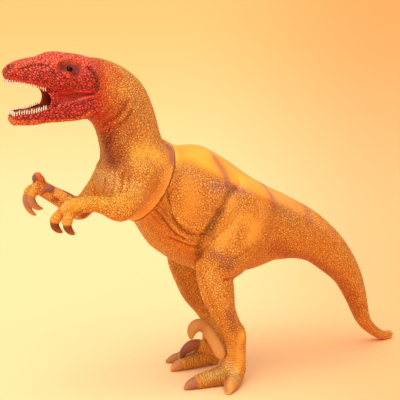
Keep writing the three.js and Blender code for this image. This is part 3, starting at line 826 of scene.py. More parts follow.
# Lines on the front moulding, each by its points in the photograph, in pixels across and down
front_lines = {
    "brow": [(41, 57), (47, 55), (55, 55.5), (64, 56), (72, 57.5), (80, 60)],
    "crest_1": [(44, 54.8), (46, 54.2)],
    "crest_2": [(50, 53.8), (52, 53.6)],
    "crest_3": [(57, 54), (59, 54.2)],
    "crest_4": [(65, 55), (67, 55.5)],
    "brow_edge": [(55, 64.2), (60, 60.5), (66, 58.9), (72, 58.8), (78, 61)],
    "socket": [(64, 66.5), (70, 66), (76, 69.5)],
    "lid_top": [(64.8, 69.5), (66.3, 66.4), (69.5, 65), (73, 66.2), (75, 69)],
    "lid_bottom": [(64.8, 70.5), (66.5, 73), (69.8, 74.3), (73, 72.8), (75, 70)],
    "behind_eye": [(79.8, 64.5), (79.4, 67), (78, 70.5), (75.5, 76)],
    "under_eye": [(61.5, 68), (63.5, 72.5), (67.5, 76.3), (73, 78)],
    "snout_recess": [(28, 72.5), (36, 71), (44, 72.5)],
    "snout_groove": [(21, 69), (27, 66), (34, 64.9), (42, 64.8), (48.5, 66.6), (52.5, 71),
                     (55.5, 76)],
    "snout_rim": [(24, 64.5), (32, 62.3), (42, 62), (51, 63.8)],
    "nostril": [(8.2, 66.3), (6.8, 68.8), (5.4, 71.4)],
    "jowl": [(85, 77), (88, 79.5)],
    "jowl_low": [(92, 84), (94, 90)],
    "behind_jowl": [(90, 68.5), (95, 73.5), (97.5, 79), (98, 86), (97, 92)],
    "upper_lip": [(12, 78.5), (23, 81), (34, 82.6), (46, 85.6), (54, 89), (64, 90.6), (78, 91.6),
                  (91, 92)],
    "above_lip": [(13, 76.6), (26, 78.4), (38, 80.6), (49, 83.6), (58, 86.6), (70, 88.2),
                  (84, 88.8)],
    "mouth_fold": [(60, 95), (72, 94.6), (84, 94.4), (95, 94.2)],
    "membrane": [(62, 99), (72, 98), (82, 96.4)],
    "lower_lip": [(58, 106), (66, 104), (75, 101.2), (85, 98), (94, 96)],
    "jaw_edge": [(15, 123), (27, 123.5), (42, 122.5), (58, 121), (72, 120), (84, 116.5), (92, 113)],
    "jaw_front": [(10.5, 117), (12, 121), (14, 125)],
    "throat_1": [(128, 101), (124.5, 108.5), (119, 115.5), (110.5, 121.5), (101, 126)],
    "throat_2": [(131.5, 111), (129, 117), (124, 122), (116.5, 126.5), (108, 129)],
    "throat_ridge": [(130, 106), (126.5, 113), (120.5, 119.5), (112, 124.5), (103, 128.5)],
    "throat_3": [(107, 102), (104.5, 108.5), (98.5, 113.5)],
    "throat_4": [(117, 96), (113.5, 104.5), (108, 111.5), (100, 116.5)],
    "throat_5": [(101, 132.5), (109, 134), (118, 132), (126, 127.5)],
    "throat_6": [(103, 140.5), (111, 141), (119, 138)],
    "neck_top": [(103, 64), (113, 70), (120, 78)],
    "throat_shade": [(106, 112), (116, 112), (124, 104)],
    "under_wrist": [(78.5, 213.5), (83, 216.5), (88, 213.5)],
    "far_forearm": [(66, 191.5), (67, 192), (72, 195)],
    "far_thumb": [(39, 174), (41, 179), (44, 184)],
    "far_thumb_side": [(33.5, 176), (35, 181)],
    "upper_arm": [(128, 186), (137, 195), (146, 201)],
    "snout_front": [(5.5, 72), (8, 68), (11, 65)],
    "neck_front": [(106, 122), (107.5, 134), (110, 147), (113, 160)],
    "neck_low": [(118, 150), (124, 163), (128, 176)],
    "neck_side": [(122, 108), (127, 124), (131, 140)],
    "neck_back": [(136, 98), (141, 112), (146, 124)],
    "nape": [(138.5, 84), (145, 99), (151, 117), (159, 130)],
    "shoulder": [(141, 152), (151, 152), (159, 160)],
    "shoulder_low": [(138, 163), (148, 165), (156, 172)],
    "shoulder_crease": [(156.5, 158), (160, 163.5), (163.8, 171)],
    "shoulder_fold": [(133, 168), (140, 170.5), (147, 174.5)],
    "chest_fold_1": [(121.5, 176), (121.5, 184), (119, 192)],
    "chest_fold_2": [(104.5, 180), (104, 186), (102.5, 192)],
    "chest_fold_3": [(112.5, 172), (112, 180), (111, 190)],
    "chest_fold_4": [(128, 178), (128.5, 186), (126, 192)],
    "chest_fold_5": [(117, 173), (117.2, 182), (115, 191)],
    "chest": [(97, 174), (104, 178), (112, 184)],
    "mauve": [(169, 147), (173, 154), (173.4, 162)],
    "collar_low": [(163, 180), (155, 192), (146, 203), (138, 209)],
    "forearm": [(126, 201), (110, 199), (92, 201), (78, 206)],
}
# What is done along them: how far to each side in millimetres, and the height or, below 0, depth
front_strokes = [
    ("brow", 4.5, 1.3), ("crest_1", 2.8, 0.9), ("crest_2", 2.6, 0.7), ("crest_3", 2.6, 0.7),
    ("crest_4", 2.6, 0.6), ("brow_edge", 3, 1.3), ("socket", 8.5, -3.2), ("lid_top", 1.9, 1.7),
    ("lid_bottom", 1.8, 1.4), ("behind_eye", 2.6, -1.6), ("under_eye", 2.4, 1.2),
    ("snout_recess", 7, -1.6), ("snout_groove", 3, -1.2), ("snout_rim", 3.2, 0.5),
    ("nostril", 2.2, -2), ("jowl", 10, 2), ("jowl_low", 6, 1), ("behind_jowl", 4, -1.6),
    ("upper_lip", 2.4, 1.1), ("above_lip", 2.6, -0.6), ("mouth_fold", 2.2, -2.2),
    ("membrane", 5, -1.6), ("lower_lip", 2.4, 1), ("throat_1", 4.4, -1.2), ("throat_2", 4.2, -1),
    ("throat_3", 3.4, -0.6), ("throat_4", 3.6, -0.6), ("throat_5", 3.2, -0.7),
    ("throat_6", 3.2, -0.5), ("throat_ridge", 4, 0.8), ("shoulder", 16, 1.2),
    ("shoulder_crease", 3, -0.8), ("shoulder_fold", 4, -0.8), ("chest_fold_1", 4.4, -1.9),
    ("chest_fold_2", 3.8, -1.4), ("chest_fold_3", 3.6, 1.1), ("chest_fold_4", 3.4, -1.2),
    ("chest_fold_5", 3.4, 0.9), ("jaw_edge", 4, 0.7),
]

# Lines on the rear moulding, in the same way
rear_lines = {
    "flank_groove": [(167.5, 193), (169, 203), (171.8, 214), (176, 222), (181, 229), (192, 235),
                     (203, 236)],
    "flank_ridge": [(165.5, 191), (167.2, 199), (169.6, 207.5), (174, 216), (180, 223)],
    "flank_rim": [(178.5, 218), (184, 223.5), (190, 227.5), (197, 228.2), (205, 227.5)],
    "fold_2": [(155, 209.5), (160, 216), (165, 221.8), (171, 230), (177, 235.5), (184, 238.5)],
    "fold_2_ridge": [(160, 210), (166, 218), (172.5, 226.5), (180, 233.5), (188, 238)],
    "fold_3": [(170, 238.5), (178, 241.5), (187, 245), (198, 248)],
    "fold_3_ridge": [(176, 236), (184, 241), (194, 244)],
    "belly_fold": [(150, 211), (156, 220), (163, 227), (170, 232)],
    "thigh_crease": [(235, 188), (231.5, 191.5), (227, 197), (224.5, 205), (217, 216), (209.5, 227),
                     (203.5, 236), (199.5, 246), (198, 256)],
    "thigh_lip": [(245, 190), (236, 200), (231, 210), (224, 221), (216, 232)],
    "thigh_low": [(250, 244.5), (243, 250.5), (235, 255)],
    "thigh_low_groove": [(248, 249), (240, 256), (232, 260)],
    "shin_ridge": [(193.5, 266), (197, 280), (201.5, 293), (206.5, 306), (212.5, 320), (219, 332)],
    "shin_groove": [(199, 266), (203, 280), (208, 294), (213, 307), (219, 319)],
    "knee_wrinkle": [(233.5, 277), (229, 279.5), (224.5, 280)],
    "shin_tendon": [(226, 292), (231, 305), (236, 318), (240, 331)],
    "heel": [(243.5, 331), (244, 337)],
    "heel_in": [(241.5, 346), (242, 351)],
    "ankle_out": [(243, 360), (243.5, 366)],
    "knee_mauve": [(212, 255), (224, 258), (236, 262)],
    "knee_back": [(222, 266), (230, 268)],
    "outer_toe_shade": [(226, 378), (225.6, 385), (227, 390.5)],
    "far_shin": [(176, 268), (184, 286), (193, 305)],
    "thigh_gold": [(233, 205), (234, 216), (228, 228), (222, 240)],
    "flank_low": [(160, 206), (164, 214), (169, 222)],
    "toe_pale": [(206, 377), (214, 374), (221, 371)],
    "foot_gold": [(226, 366), (233, 372), (238, 380)],
    "hip_bright": [(247, 220), (256, 228), (250, 238)],
    "ankle_shade": [(219, 344), (222, 356), (228, 366)],
    "back_top": [(183, 146), (195, 149.5), (207, 155), (222, 163.5), (236, 171.5), (250, 178),
                 (266, 187)],
    "stripe_1": [(215.5, 159), (221, 167), (225.5, 175), (228, 184)],
    "stripe_2": [(262, 183.5), (268, 190), (272, 198), (274, 208)],
    "stripe_3": [(303, 204), (308, 212), (309, 222)],
    "mauve_zone": [(215, 186), (228, 188), (243, 190), (252, 187)],
    "green_zone": [(279, 208), (288, 214), (293, 224)],
    "flank_gold": [(190, 186), (193, 200), (190, 214)],
    "flank_pale": [(186, 172), (196, 178), (205, 184)],
    "behind_seam": [(176, 172), (172, 184), (165, 197), (155, 207)],
    "crease_shade": [(220, 212), (214, 223), (208, 234)],
    "hip_gold": [(262, 206), (262, 220), (256, 232)],
    "belly": [(150, 216), (160, 228), (174, 240), (188, 251), (194, 258)],
    "shin_mauve": [(229, 313), (232, 320), (234, 328)],
    "shin_side": [(212, 275), (218, 292), (225, 306)],
    "heel_gold": [(241, 335), (240, 345), (240, 356), (238, 368)],
    "ankle_gold": [(236, 371), (232, 383), (229, 391)],
    "tail_end": [(355, 316), (364, 326), (378, 332), (387, 334)],
    "tail_top": [(300, 203), (325, 224), (345, 250), (356, 277), (365, 303)],
    "tail_low": [(275, 248), (300, 258), (322, 268), (344, 291), (357, 314)],
}
rear_strokes = [
    ("flank_groove", 4.2, -1.7), ("flank_ridge", 3.4, 1.3), ("flank_rim", 2.8, 1.1),
    ("fold_2", 3.6, -1.6), ("fold_2_ridge", 3, 1.1), ("fold_3", 3.4, -1.5),
    ("fold_3_ridge", 3, 1.1), ("belly_fold", 3.2, -0.9), ("thigh_crease", 6, -1.3),
    ("thigh_lip", 8, 0.9), ("thigh_low", 4, 0.8), ("thigh_low_groove", 5, -0.7),
    ("shin_ridge", 3, 1.1), ("heel_in", 6, -0.9), ("ankle_out", 7, 0.9), ("shin_groove", 4, -1.2),
    ("knee_wrinkle", 2.6, -1.2), ("shin_tendon", 4, 0.7), ("heel", 6, 1.2),
]

# Where each claw starts, as a share of the length of its finger or toe, by limb number
front_claws = {1: 0.58, 2: 0.6, 3: 0.6, 5: 0.42, 6: 0.46, 7: 0.56}
rear_claws = {1: -0.05, 2: 0.74, 3: 0.62, 5: 0.55, 6: 0.74, 7: 0.7}


def sculpted(clay, times, joins, table, strokes, limbs, claws):
    """Relaxes a fused skin where its parts join and then everywhere a little, raises or sinks it
    along its lines, and steps it in at the claws. Gives the lines as places on the skin."""
    clay.relax(times, joins)
    clay.relax(5)
    surface = clay.surface()
    lines = {name: on_skin(surface, spots) for name, spots in table.items()}
    for name, reach, depth in strokes:
        clay.stroke(lines[name], reach, depth)
    ring_groove(clay, limbs, claws)
    return lines


def make_head():
    """Skull and jaw fused with the skin between them, and the mouth's space cut out."""
    skull = loft(skull_stations(), LEFT, sides=64, square=(2.2, 3.6), ends=(0.8, 0.6))
    jaw = loft(jaw_stations(), LEFT, sides=64, square=(3.6, 2.2), ends=(0.8, 0.12))
    cheek_line = cheek_stations()
    cheek = new_object("cheek", *loft(cheek_line, LEFT, square=(3, 3), ends=(0.8, 0.05)))
    corner = rod(cheek_line[-1, :3], corner_radius, 2 * head_half_width)
    carved(cheek, new_object("corner", *corner))
    head = joined([new_object("head", *grouped([skull, jaw])), cheek])
    mouth = loft(mouth_stations(), LEFT, square=(3, 3))
    return carved(fused(head, head_facet), new_object("mouth", *mouth))


def make_front():
    """The front moulding's outer form, and the named lines on it."""
    left_blend, right_blend, nape_blend = 44, 40, 34
    chest = loft(chest_stations(), LEFT, sides=96, ends=(0.8, 0.35))
    neck = loft(neck_stations(), LEFT, sides=80)
    parts = [chest, neck, *arm_lofts(LEFT, left_arm), *arm_lofts(RIGHT, right_arm)]
    front = joined([new_object("front_skin", *grouped(parts)), make_head()])
    clay = Clay(fused(front, front_facet))
    neck_side = neck_stations()[[1, 2], :3] + LEFT * 28
    joins = np.maximum.reduce([close_to(clay.points, left_arm[0][:2, :3], left_blend),
                               close_to(clay.points, right_arm[0][:2, :3], right_blend),
                               both_sides(clay.points, neck_side, nape_blend)])
    return clay, sculpted(clay, 120, joins, front_lines, front_strokes, left_arm + right_arm,
                          front_claws)


def make_rear():
    """The rear moulding's outer form, and the named lines on it. Its hips are relaxed behind and
    over the thighs, and its soles are flat on the floor."""
    hip_blend = 62
    trunk = loft(trunk_stations(), RIGHT, sides=96, count=120)
    parts = [trunk, *leg_lofts(LEFT, left_foot), *leg_lofts(RIGHT, right_foot)]
    clay = Clay(fused(new_object("rear_skin", *grouped(parts)), rear_facet))
    thigh = leg_stations(LEFT, thigh_shares, thigh_half_width, thigh_half_depth)[:, :3]
    behind = ramp(clay.points[:, 0], thigh[0, 0] - 26, thigh[0, 0] - 8)
    over = ramp(clay.points[:, 2], thigh[0, 2] + 14, thigh[0, 2] + 26)
    joins = both_sides(clay.points, thigh[:3] + LEFT * 10, hip_blend) * np.maximum(behind, over)
    lines = sculpted(clay, 160, joins, rear_lines, rear_strokes, left_foot + right_foot, rear_claws)
    clay.points[:, 2] = np.maximum(clay.points[:, 2], 0)
    return clay, lines


# Teeth, tongue, eyes and stuffing


def tooth_line(stations, opens, past_end):
    """A jaw's lip from left to right by way of the front: shares of the half width out and of the
    half depth towards the mouth's gap. past_end is how far the front lies past the last station."""
    left_side = (stations[:, :3] + LEFT * stations[:, 3:4] * 0.74
                 + UPRIGHT * stations[:, 4:5] * (opens * 0.9))
    front = left_side[-1] * [1, 0, 1] - [past_end, 0, 0]
    return np.vstack([left_side, front, mirrored(left_side)[::-1]])


# A tooth from root to point: shares of its length, millimetres of lean back and of half width
tooth_shape = np.array([
    [-0.3, 0, 0.8],
    [0, 0, 0.8],
    [0.5, 0.15, 0.66],
    [0.85, 0.45, 0.42],
    [1, 0.7, 0.2],
])


def tooth_row(name, stations, opens, past_end, count, length):
    """A gum strip along the lip, and teeth at even steps along it. Each is a cone that leans back,
    and its length swings by a sine of its number and grows towards the mouth's corners. ivory is 1
    on the teeth and 0 on the strip."""
    shortest, swing, corner_growth = 0.75, 0.2, 0.35
    line = tooth_line(stations, opens, past_end)
    rail = curve(line, np.linspace(0, 1, 300))[0]
    walked = walked_to(rail)
    strip = line * [1, 0.97, 1] + [0.5, 0, opens * 0.3]
    strip_radius = np.full((len(line), 3), gum_radius * 0.75)
    parts = [loft(np.hstack([strip, strip_radius]), UPRIGHT, sides=12, count=60)]
    strip_points = len(parts[0][0])
    up, lean, wide = tooth_shape.T[:, :, None]
    for number in range(count):
        at = (number + 0.5) / count * walked[-1]
        root = np.array([np.interp(at, walked, rail[:, k]) for k in range(3)])
        middle = abs(number / (count - 1) * 2 - 1)
        tall = length * opens * (shortest + swing * math.sin(number * 2.4)
                                 + corner_growth * ramp(middle, 0.3, 0.8))
        centres = root + up * tall * UPRIGHT + lean * BACK
        parts.append(loft(np.hstack([centres, wide * np.ones(3)]), LEFT, sides=10, count=8))
    made = new_object(name, *grouped(parts))
    ivory = np.ones(len(made.data.vertices), np.float32)
    ivory[:strip_points] = 0
    made.data.attributes.new("ivory", "FLOAT", "POINT").data.foreach_set("value", ivory)
    return made


# Tongue: shares of its length forward, of the mouth's half height down, and of its own half width
# and half depth.
tongue_shares = [
    [0, 0.96, 0.9, 0.9],
    [0.33, 1.1, 1, 1.1],
    [0.67, 1.14, 0.9, 1.1],
    [1, 1.17, 0.6, 0.8],
]


def make_tongue():
    """The tongue, with a groove along it that is deepest on the middle line by a bell curve."""
    groove_depth, groove_half_width = 1.1, 1.6
    throat = head_base[0] - mouth_shares[1][0] * mouth_length
    reach = rows(tongue_shares, -tongue_length, -mouth_half_height, tongue_half_width,
                 tongue_half_depth)
    centres = on_middle(throat + reach[:, 0], head_base[2] + reach[:, 1])
    verts, faces = loft(np.hstack([centres, reach[:, 2:], reach[:, 3:]]), LEFT, sides=48, count=50,
                        square=(2.6, 2))
    middle = np.interp(-verts[:, 0], -centres[:, 0], centres[:, 2])
    top = ramp(verts[:, 2], middle, middle + tongue_half_depth)
    verts[:, 2] -= top * groove_depth * np.exp(-(verts[:, 1] / groove_half_width) ** 2)
    return new_object("tongue_piece", verts, faces)


def make_eye(name, centre):
    """A bead: a ball of rings whose radius is the sine of their angle from the pole."""
    sides = 40
    angle = np.linspace(0, math.pi, 25)[1:-1, None]
    turn = np.linspace(0, 2 * math.pi, sides, endpoint=False)
    rings = np.stack([np.sin(angle) * np.cos(turn), np.repeat(-np.cos(angle), sides, 1),
                      -np.sin(angle) * np.sin(turn)], axis=-1)
    poles = [centre - RIGHT * eye_radius, centre + RIGHT * eye_radius]
    return new_object(name, *closed_grid(centre + rings * eye_radius, poles))


def make_stuffing(name, hollow):
    """A hollow's own form, pressed in by lumps: sines of the place along three slanting lines."""
    press = 0.9
    hollow.name = name
    clay = Clay(fused(hollow, stuffing_facet))
    clay.relax(3)
    slants = np.array([[0.21, 0.09, -0.12], [-0.08, 0.24, 0.11], [0.1, -0.13, 0.22]])
    lumps = np.sin(clay.points @ slants.T + [0, 1, 2]).sum(1) / 3
    clay.points -= clay.normals() * (press + lumps * press)[:, None]
    return clay.store()


def trunk_hollow(inset):
    """The hollow in the torso and the thick part of the tail, that far inside the outer form."""
    stations = trunk_stations()[:9]
    stations[:, 3:] -= inset
    hollow = new_object("trunk_hollow", *loft(stations, RIGHT, sides=48, count=40))
    return carved(hollow, new_object("front_half", *disc(outside, -collar_depth, outside)))


def chest_hollow(inset):
    """The hollow in the chest and the lower neck, that far inside the outer form."""
    chest, neck = chest_stations(), neck_stations()[:6]
    chest[:, 3:] -= inset
    neck[:, 3:] -= inset
    hollow = new_object("chest_hollow", *loft(chest, LEFT, sides=48, ends=(0.8, 0.35)))
    hollow = carved(hollow, new_object("neck_hollow", *loft(neck, LEFT, sides=48)), "UNION")
    return carved(hollow, new_object("rear_half", *disc(outside, -outside, rim_depth)))


def open_front(front):
    """Cuts the front skin square at the seam, leaves the plug with its lip, and hollows it."""
    lip_radius = plug_radius + lip_height
    waste = turned([(0, -outside), (outside, -outside), (outside, seam_gap / 2),
                    (plug_radius, seam_gap / 2), (plug_radius, lip_front), (lip_radius, lip_front),
                    (lip_radius, lip_back), (0, lip_back)])
    carved(front, new_object("waste", *waste))
    carved(front, chest_hollow(lining))
    bore = disc(plug_radius - plug_wall, lip_back - 1, rim_depth + 1)
    return carved(front, new_object("bore", *bore))


def open_rear(rear):
    """Cuts the rear skin square at the seam, and opens its collar into the hollow."""
    bore = plug_radius + clearance
    waste = turned([(0, -collar_depth - 1), (bore, -collar_depth - 1), (bore, -seam_gap / 2),
                    (outside, -seam_gap / 2), (outside, outside), (0, outside)])
    carved(rear, new_object("waste", *waste))
    return carved(rear, trunk_hollow(lining))


# Finishes


def linear(code):
    """A colour written as 0xRRGGBB, as the linear values that Blender mixes."""
    value = np.array([code >> 16 & 255, code >> 8 & 255, code & 255]) / 255
    return np.where(value < 0.04045, value / 12.92, ((value + 0.055) / 1.055) ** 2.4)


def paint_colour(code):
    """The same with an opaque fourth value, as a socket takes it."""
    return (*linear(code), 1)


class Wire:
    """A node's output, on which Python's arithmetic makes Math nodes."""

    def __init__(self, recipe, socket):
        self.recipe = recipe
        self.socket = socket

    def math(self, operation, *others):
        return self.recipe.node("ShaderNodeMath", enumerate((self, *others)), operation=operation)

    def __add__(self, other):
        return self.math("ADD", other)

    def __sub__(self, other):
        return self.math("SUBTRACT", other)

    def __mul__(self, other):
        return self.math("MULTIPLY", other)

    def __truediv__(self, other):
        return self.math("DIVIDE", other)

    def __rsub__(self, other):
        return self.math("MULTIPLY_ADD", -1, other)

    def __rtruediv__(self, other):
        return self.math("POWER", -1) * other

    __radd__ = __add__
    __rmul__ = __mul__

    def ramp(self, start, end, low=0.0, high=1.0):
        """Runs smoothly from low to high as the value goes from start to end."""
        values = enumerate((self, start, end, low, high))
        return self.recipe.node("ShaderNodeMapRange", values, interpolation_type="SMOOTHSTEP")


class Recipe:
    """A material and its nodes."""

    def __init__(self, name):
        self.material = bpy.data.materials.new(name)
        self.material.use_nodes = True
        self.tree = self.material.node_tree
        self.shader = self.tree.nodes["Principled BSDF"]

    def put(self, socket, value):
        """Links a wire to a socket, or sets a constant on it."""
        if isinstance(value, Wire):
            self.tree.links.new(value.socket, socket)
        else:
            socket.default_value = value

    def node(self, kind, inputs=(), output=0, **settings):
        """Any node, from its type, its sockets' values or wires and its settings."""
        made = self.tree.nodes.new(kind)
        for key, value in settings.items():
            setattr(made, key, value)
        for key, value in dict(inputs).items():
            self.put(made.inputs[key], value)
        return Wire(self, made.outputs[output])

    def spot(self):
        return self.node("ShaderNodeTexCoord", output="Object")

    def attribute(self, name, output="Fac"):
        return self.node("ShaderNodeAttribute", attribute_name=name, output=output)

    def noise(self, scale, detail=2.0, output="Fac"):
        """Soft blotches, that many to a metre."""
        values = {"Vector": self.spot(), "Scale": scale, "Detail": detail}
        return self.node("ShaderNodeTexNoise", values, output=output)

    def vector(self, operation, *values):
        return self.node("ShaderNodeVectorMath", enumerate(values), operation=operation)

    def mix(self, factor, one, two, blend="MIX"):
        """One colour turning to another, or blended with it."""
        return self.node("ShaderNodeMix", [(0, factor), (6, one), (7, two)], output=2,
                         data_type="RGBA", blend_type=blend)

    def bump(self, height, distance):
        values = {"Height": height, "Distance": distance, "Strength": 1.0}
        return self.node("ShaderNodeBump", values)

    def finish(self, **sockets):
        """Puts values on the shader's own sockets, named with _ for a space."""
        for name, value in sockets.items():
            self.put(self.shader.inputs[name.replace("_", " ")], value)
        return self.material


def vinyl(name):
    """Soft vinyl with pebbled scales and wrinkle rings, from the paint and masks on the skin's
    points: grain is 1 where it has scales, hatch is 1 on the head, whose scales lie in slanting
    rows, and rings is 1 on wrinkles, which follow the millimetres along a limb."""
    body_scales, head_scales = 405.0, 350.0
    bend = (0.0009,) * 3
    head_turn, head_stretch = math.radians(-42), (0.78, 1.05, 1.35)
    relief = 0.0013
    r = Recipe(name)
    paint = r.attribute("paint", "Color")
    grain, rings, hatch = r.attribute("grain"), r.attribute("rings"), r.attribute("hatch")
    bent = r.vector("MULTIPLY_ADD", r.noise(300.0, 1.0, "Color"), bend, r.spot())
    leaning = r.node("ShaderNodeVectorRotate", {"Vector": bent, "Angle": head_turn},
                     rotation_type="Y_AXIS")
    slanting = r.vector("MULTIPLY", leaning, head_stretch)

    def domes(spots, size, top):
        """Round tops: the square root of the distance from the edges of scattered cells."""
        cells = r.node("ShaderNodeTexVoronoi", {"Vector": spots, "Scale": size, "Randomness": 0.95},
                       feature="DISTANCE_TO_EDGE")
        return (cells / top).math("MINIMUM", 1).math("SQRT")

    def leather(spots, size, top):
        """Pebbles with thin valleys: the larger domes, or smaller ones where those come higher."""
        return domes(spots, size, top).math("MAXIMUM", domes(spots, size * 1.25, top) * 0.8)

    pebble = (leather(bent, body_scales, 0.34) * (1 - hatch)
              + leather(slanting, head_scales, 0.27) * hatch)
    blotch = r.noise(900.0)
    mottle = r.noise(75.0, 3.0)
    ridge = (r.attribute("along") * 2.3 + r.noise(160.0, 1.0) * 9).math("SINE") * 0.5 + 0.5
    height = grain * pebble + rings * ridge * 1.2 + blotch * 0.15
    # Painted shade and highlight on the scales: lit darkens the paint towards the shadow colour in
    # the valleys between pebbles and between wrinkle rings, and the paint is screened towards a
    # painted highlight on the pebble tops.
    lit = 1 - grain * (1 - pebble) * (hatch * 0.45 + 1.25) - rings * (1 - ridge) * 0.24
    shadow = r.mix(hatch, (0.5, 0.3, 0.05, 1), (0.4, 0.05, 0.02, 1))
    dark = r.mix(1.0, paint, shadow, "MULTIPLY")
    pebble_highlight = r.mix(hatch, (0.2, 0.1, 0.03, 1), (0.2, 0.09, 0.07, 1))
    pale = r.mix(grain * pebble * pebble, paint, pebble_highlight, "SCREEN")
    tone = r.mix(lit, dark, pale)
    shade = r.mix(mottle.ramp(0.35, 0.7, 0.0, 0.3), tone, (0.5, 0.3, 0.2, 1), "SOFT_LIGHT")
    return r.finish(Base_Color=shade, Roughness=mottle.ramp(0.3, 0.7, 0.42, 0.54),
                    Specular_IOR_Level=0.28, Normal=r.bump(height, relief))


def teeth_finish():
    """Cream teeth that are stained in places, on a dark red gum strip."""
    r = Recipe("tooth_plastic")
    stain = r.noise(500.0)
    tone = r.mix(stain.ramp(0.4, 0.7), paint_colour(0xFFF2E0), paint_colour(0xE0C09A))
    return r.finish(Base_Color=r.mix(r.attribute("ivory"), paint_colour(0x6E1A10), tone),
                    Roughness=stain.ramp(0.3, 0.7, 0.25, 0.36))


def satin(name, one, two, scale, rough, relief, shine=0.5):
    """A colour that drifts to another over patches, with a fine relief."""
    r = Recipe(name)
    patches = r.noise(scale, 3.0)
    drift = r.mix(patches.ramp(0.35, 0.65), paint_colour(one), paint_colour(two))
    return r.finish(Base_Color=drift, Roughness=patches.ramp(0.3, 0.7, rough, rough + 0.1),
                    Specular_IOR_Level=shine, Normal=r.bump(r.noise(scale * 9), relief))


# Floor and light


def make_floor():
    """A pale sheet on the ground, with painted shade: its tint grows darker and warmer to the
    camera's right, by the sideways place over the distance from the camera, and behind the figure,
    by the way beyond it over that distance. The distance is the square root of its square plus 0.4,
    so that it is never 0."""
    half_side = 40
    mesh = bpy.data.meshes.new("floor")
    mesh.from_pydata([(x * half_side, y * half_side, 0)
                      for x, y in ((-1, -1), (1, -1), (1, 1), (-1, 1))], [], [(0, 1, 2, 3)])
    floor = placed("floor", mesh)
    r = Recipe("pale_paper")
    x, y = (r.node("ShaderNodeSeparateXYZ", {"Vector": r.spot()}, output=axis) for axis in "XY")
    beyond = x * -view_right[1] + y * view_right[0]
    away = beyond + camera_distance * math.cos(camera_elevation)
    spread = (away * away + 0.4).math("SQRT")
    side = (x * view_right[0] + y * view_right[1]) / spread
    # Painted shade: the floor is laid darker and warmer to the camera's right and behind the
    # figure, where less light falls.
    sideways_shade = r.mix(side.ramp(-0.03, 0.14), paint_colour(0xFFD6A4), paint_colour(0xFFB580))
    shade = r.mix((beyond / spread).ramp(0.28, 0.76), (1, 1, 1, 1), paint_colour(0xFFDAAE))
    tint = r.mix(1.0, sideways_shade, shade, "MULTIPLY")
    floor.data.materials.append(r.finish(Base_Color=tint, Roughness=0.9))


def hang(data, heading, spot=(0, 0, 0)):
    """A lamp that shines along a heading."""
    lamp = placed(data.name, data)
    lamp.location = spot
    lamp.rotation_euler = Vector(heading).to_track_quat("-Z", "Y").to_euler()


def make_lights():
    """A broad warm key light from above, a soft box beside the camera and an even warm room."""
    key = bpy.data.lights.new("key_light", "SUN")
    key.energy = 2.65
    key.angle = math.radians(60)
    key.color = (1, 0.96, 0.86)
    hang(key, (0.35, 0.2, -1))
    fill = bpy.data.lights.new("fill_light", "AREA")
    fill.size = 1.4
    fill.energy = 7
    fill.color = (1, 0.94, 0.84)
    fill_spot = Vector((-1.0, -1.7, 0.9))
    hang(fill, Vector(camera_target) - fill_spot, fill_spot)
    world = bpy.data.worlds.new("studio")
    world.use_nodes = True
    background = world.node_tree.nodes["Background"]
    background.inputs["Color"].default_value = (1, 0.86, 0.62, 1)
    background.inputs["Strength"].default_value = 0.66
    bpy.context.scene.world = world
    bpy.context.scene.view_settings.view_transform = "Standard"


# Painting the skins. A row of paint is a line's name, a colour, how far it reaches in millimetres
# and its strength; a row of smooth is a line's name, its reach and how much of the scales it takes.
front_paint = [
    ("neck_front", 0x902600, 22, 1), ("neck_side", 0xD88434, 18, 0.85),
    ("neck_back", 0xD09A58, 12, 0.55), ("neck_low", 0xC4661C, 14, 0.8),
    ("neck_top", 0xF0682C, 10, 0.8), ("throat_shade", 0xC45A24, 9, 0.6),
    # shoulder is a lighter gold as a painted highlight where the light falls.
    ("nape", 0xF8AC54, 7, 0.75), ("shoulder", 0xFFBA40, 17, 0.95),
    ("shoulder_low", 0xFFB44C, 14, 0.8), ("collar_low", 0xF4A444, 14, 0.7),
    # upper_arm and chest are lighter as painted highlights where the light falls.
    ("upper_arm", 0xFFC068, 15, 0.8), ("chest", 0xFFC078, 15, 0.8), ("forearm", 0xFFBC40, 12, 0.85),
    # throat_1 and throat_2 are painted shade in the throat's grooves.
    ("throat_1", 0x9A3408, 4, 0.3), ("throat_2", 0x9A3A0C, 3.6, 0.25),
    # chest_fold_1, chest_fold_2 and chest_fold_4 are painted shade in the fold grooves;
    # chest_fold_3 and chest_fold_5 are painted highlight on the fold ridges.
    ("chest_fold_1", 0xB86C2C, 3.2, 0.55), ("chest_fold_2", 0xB86C2C, 3, 0.5),
    ("chest_fold_4", 0xB86C2C, 3, 0.45), ("chest_fold_5", 0xFFD494, 3.4, 0.8),
    ("chest_fold_3", 0xFFD494, 3.4, 0.8),
]
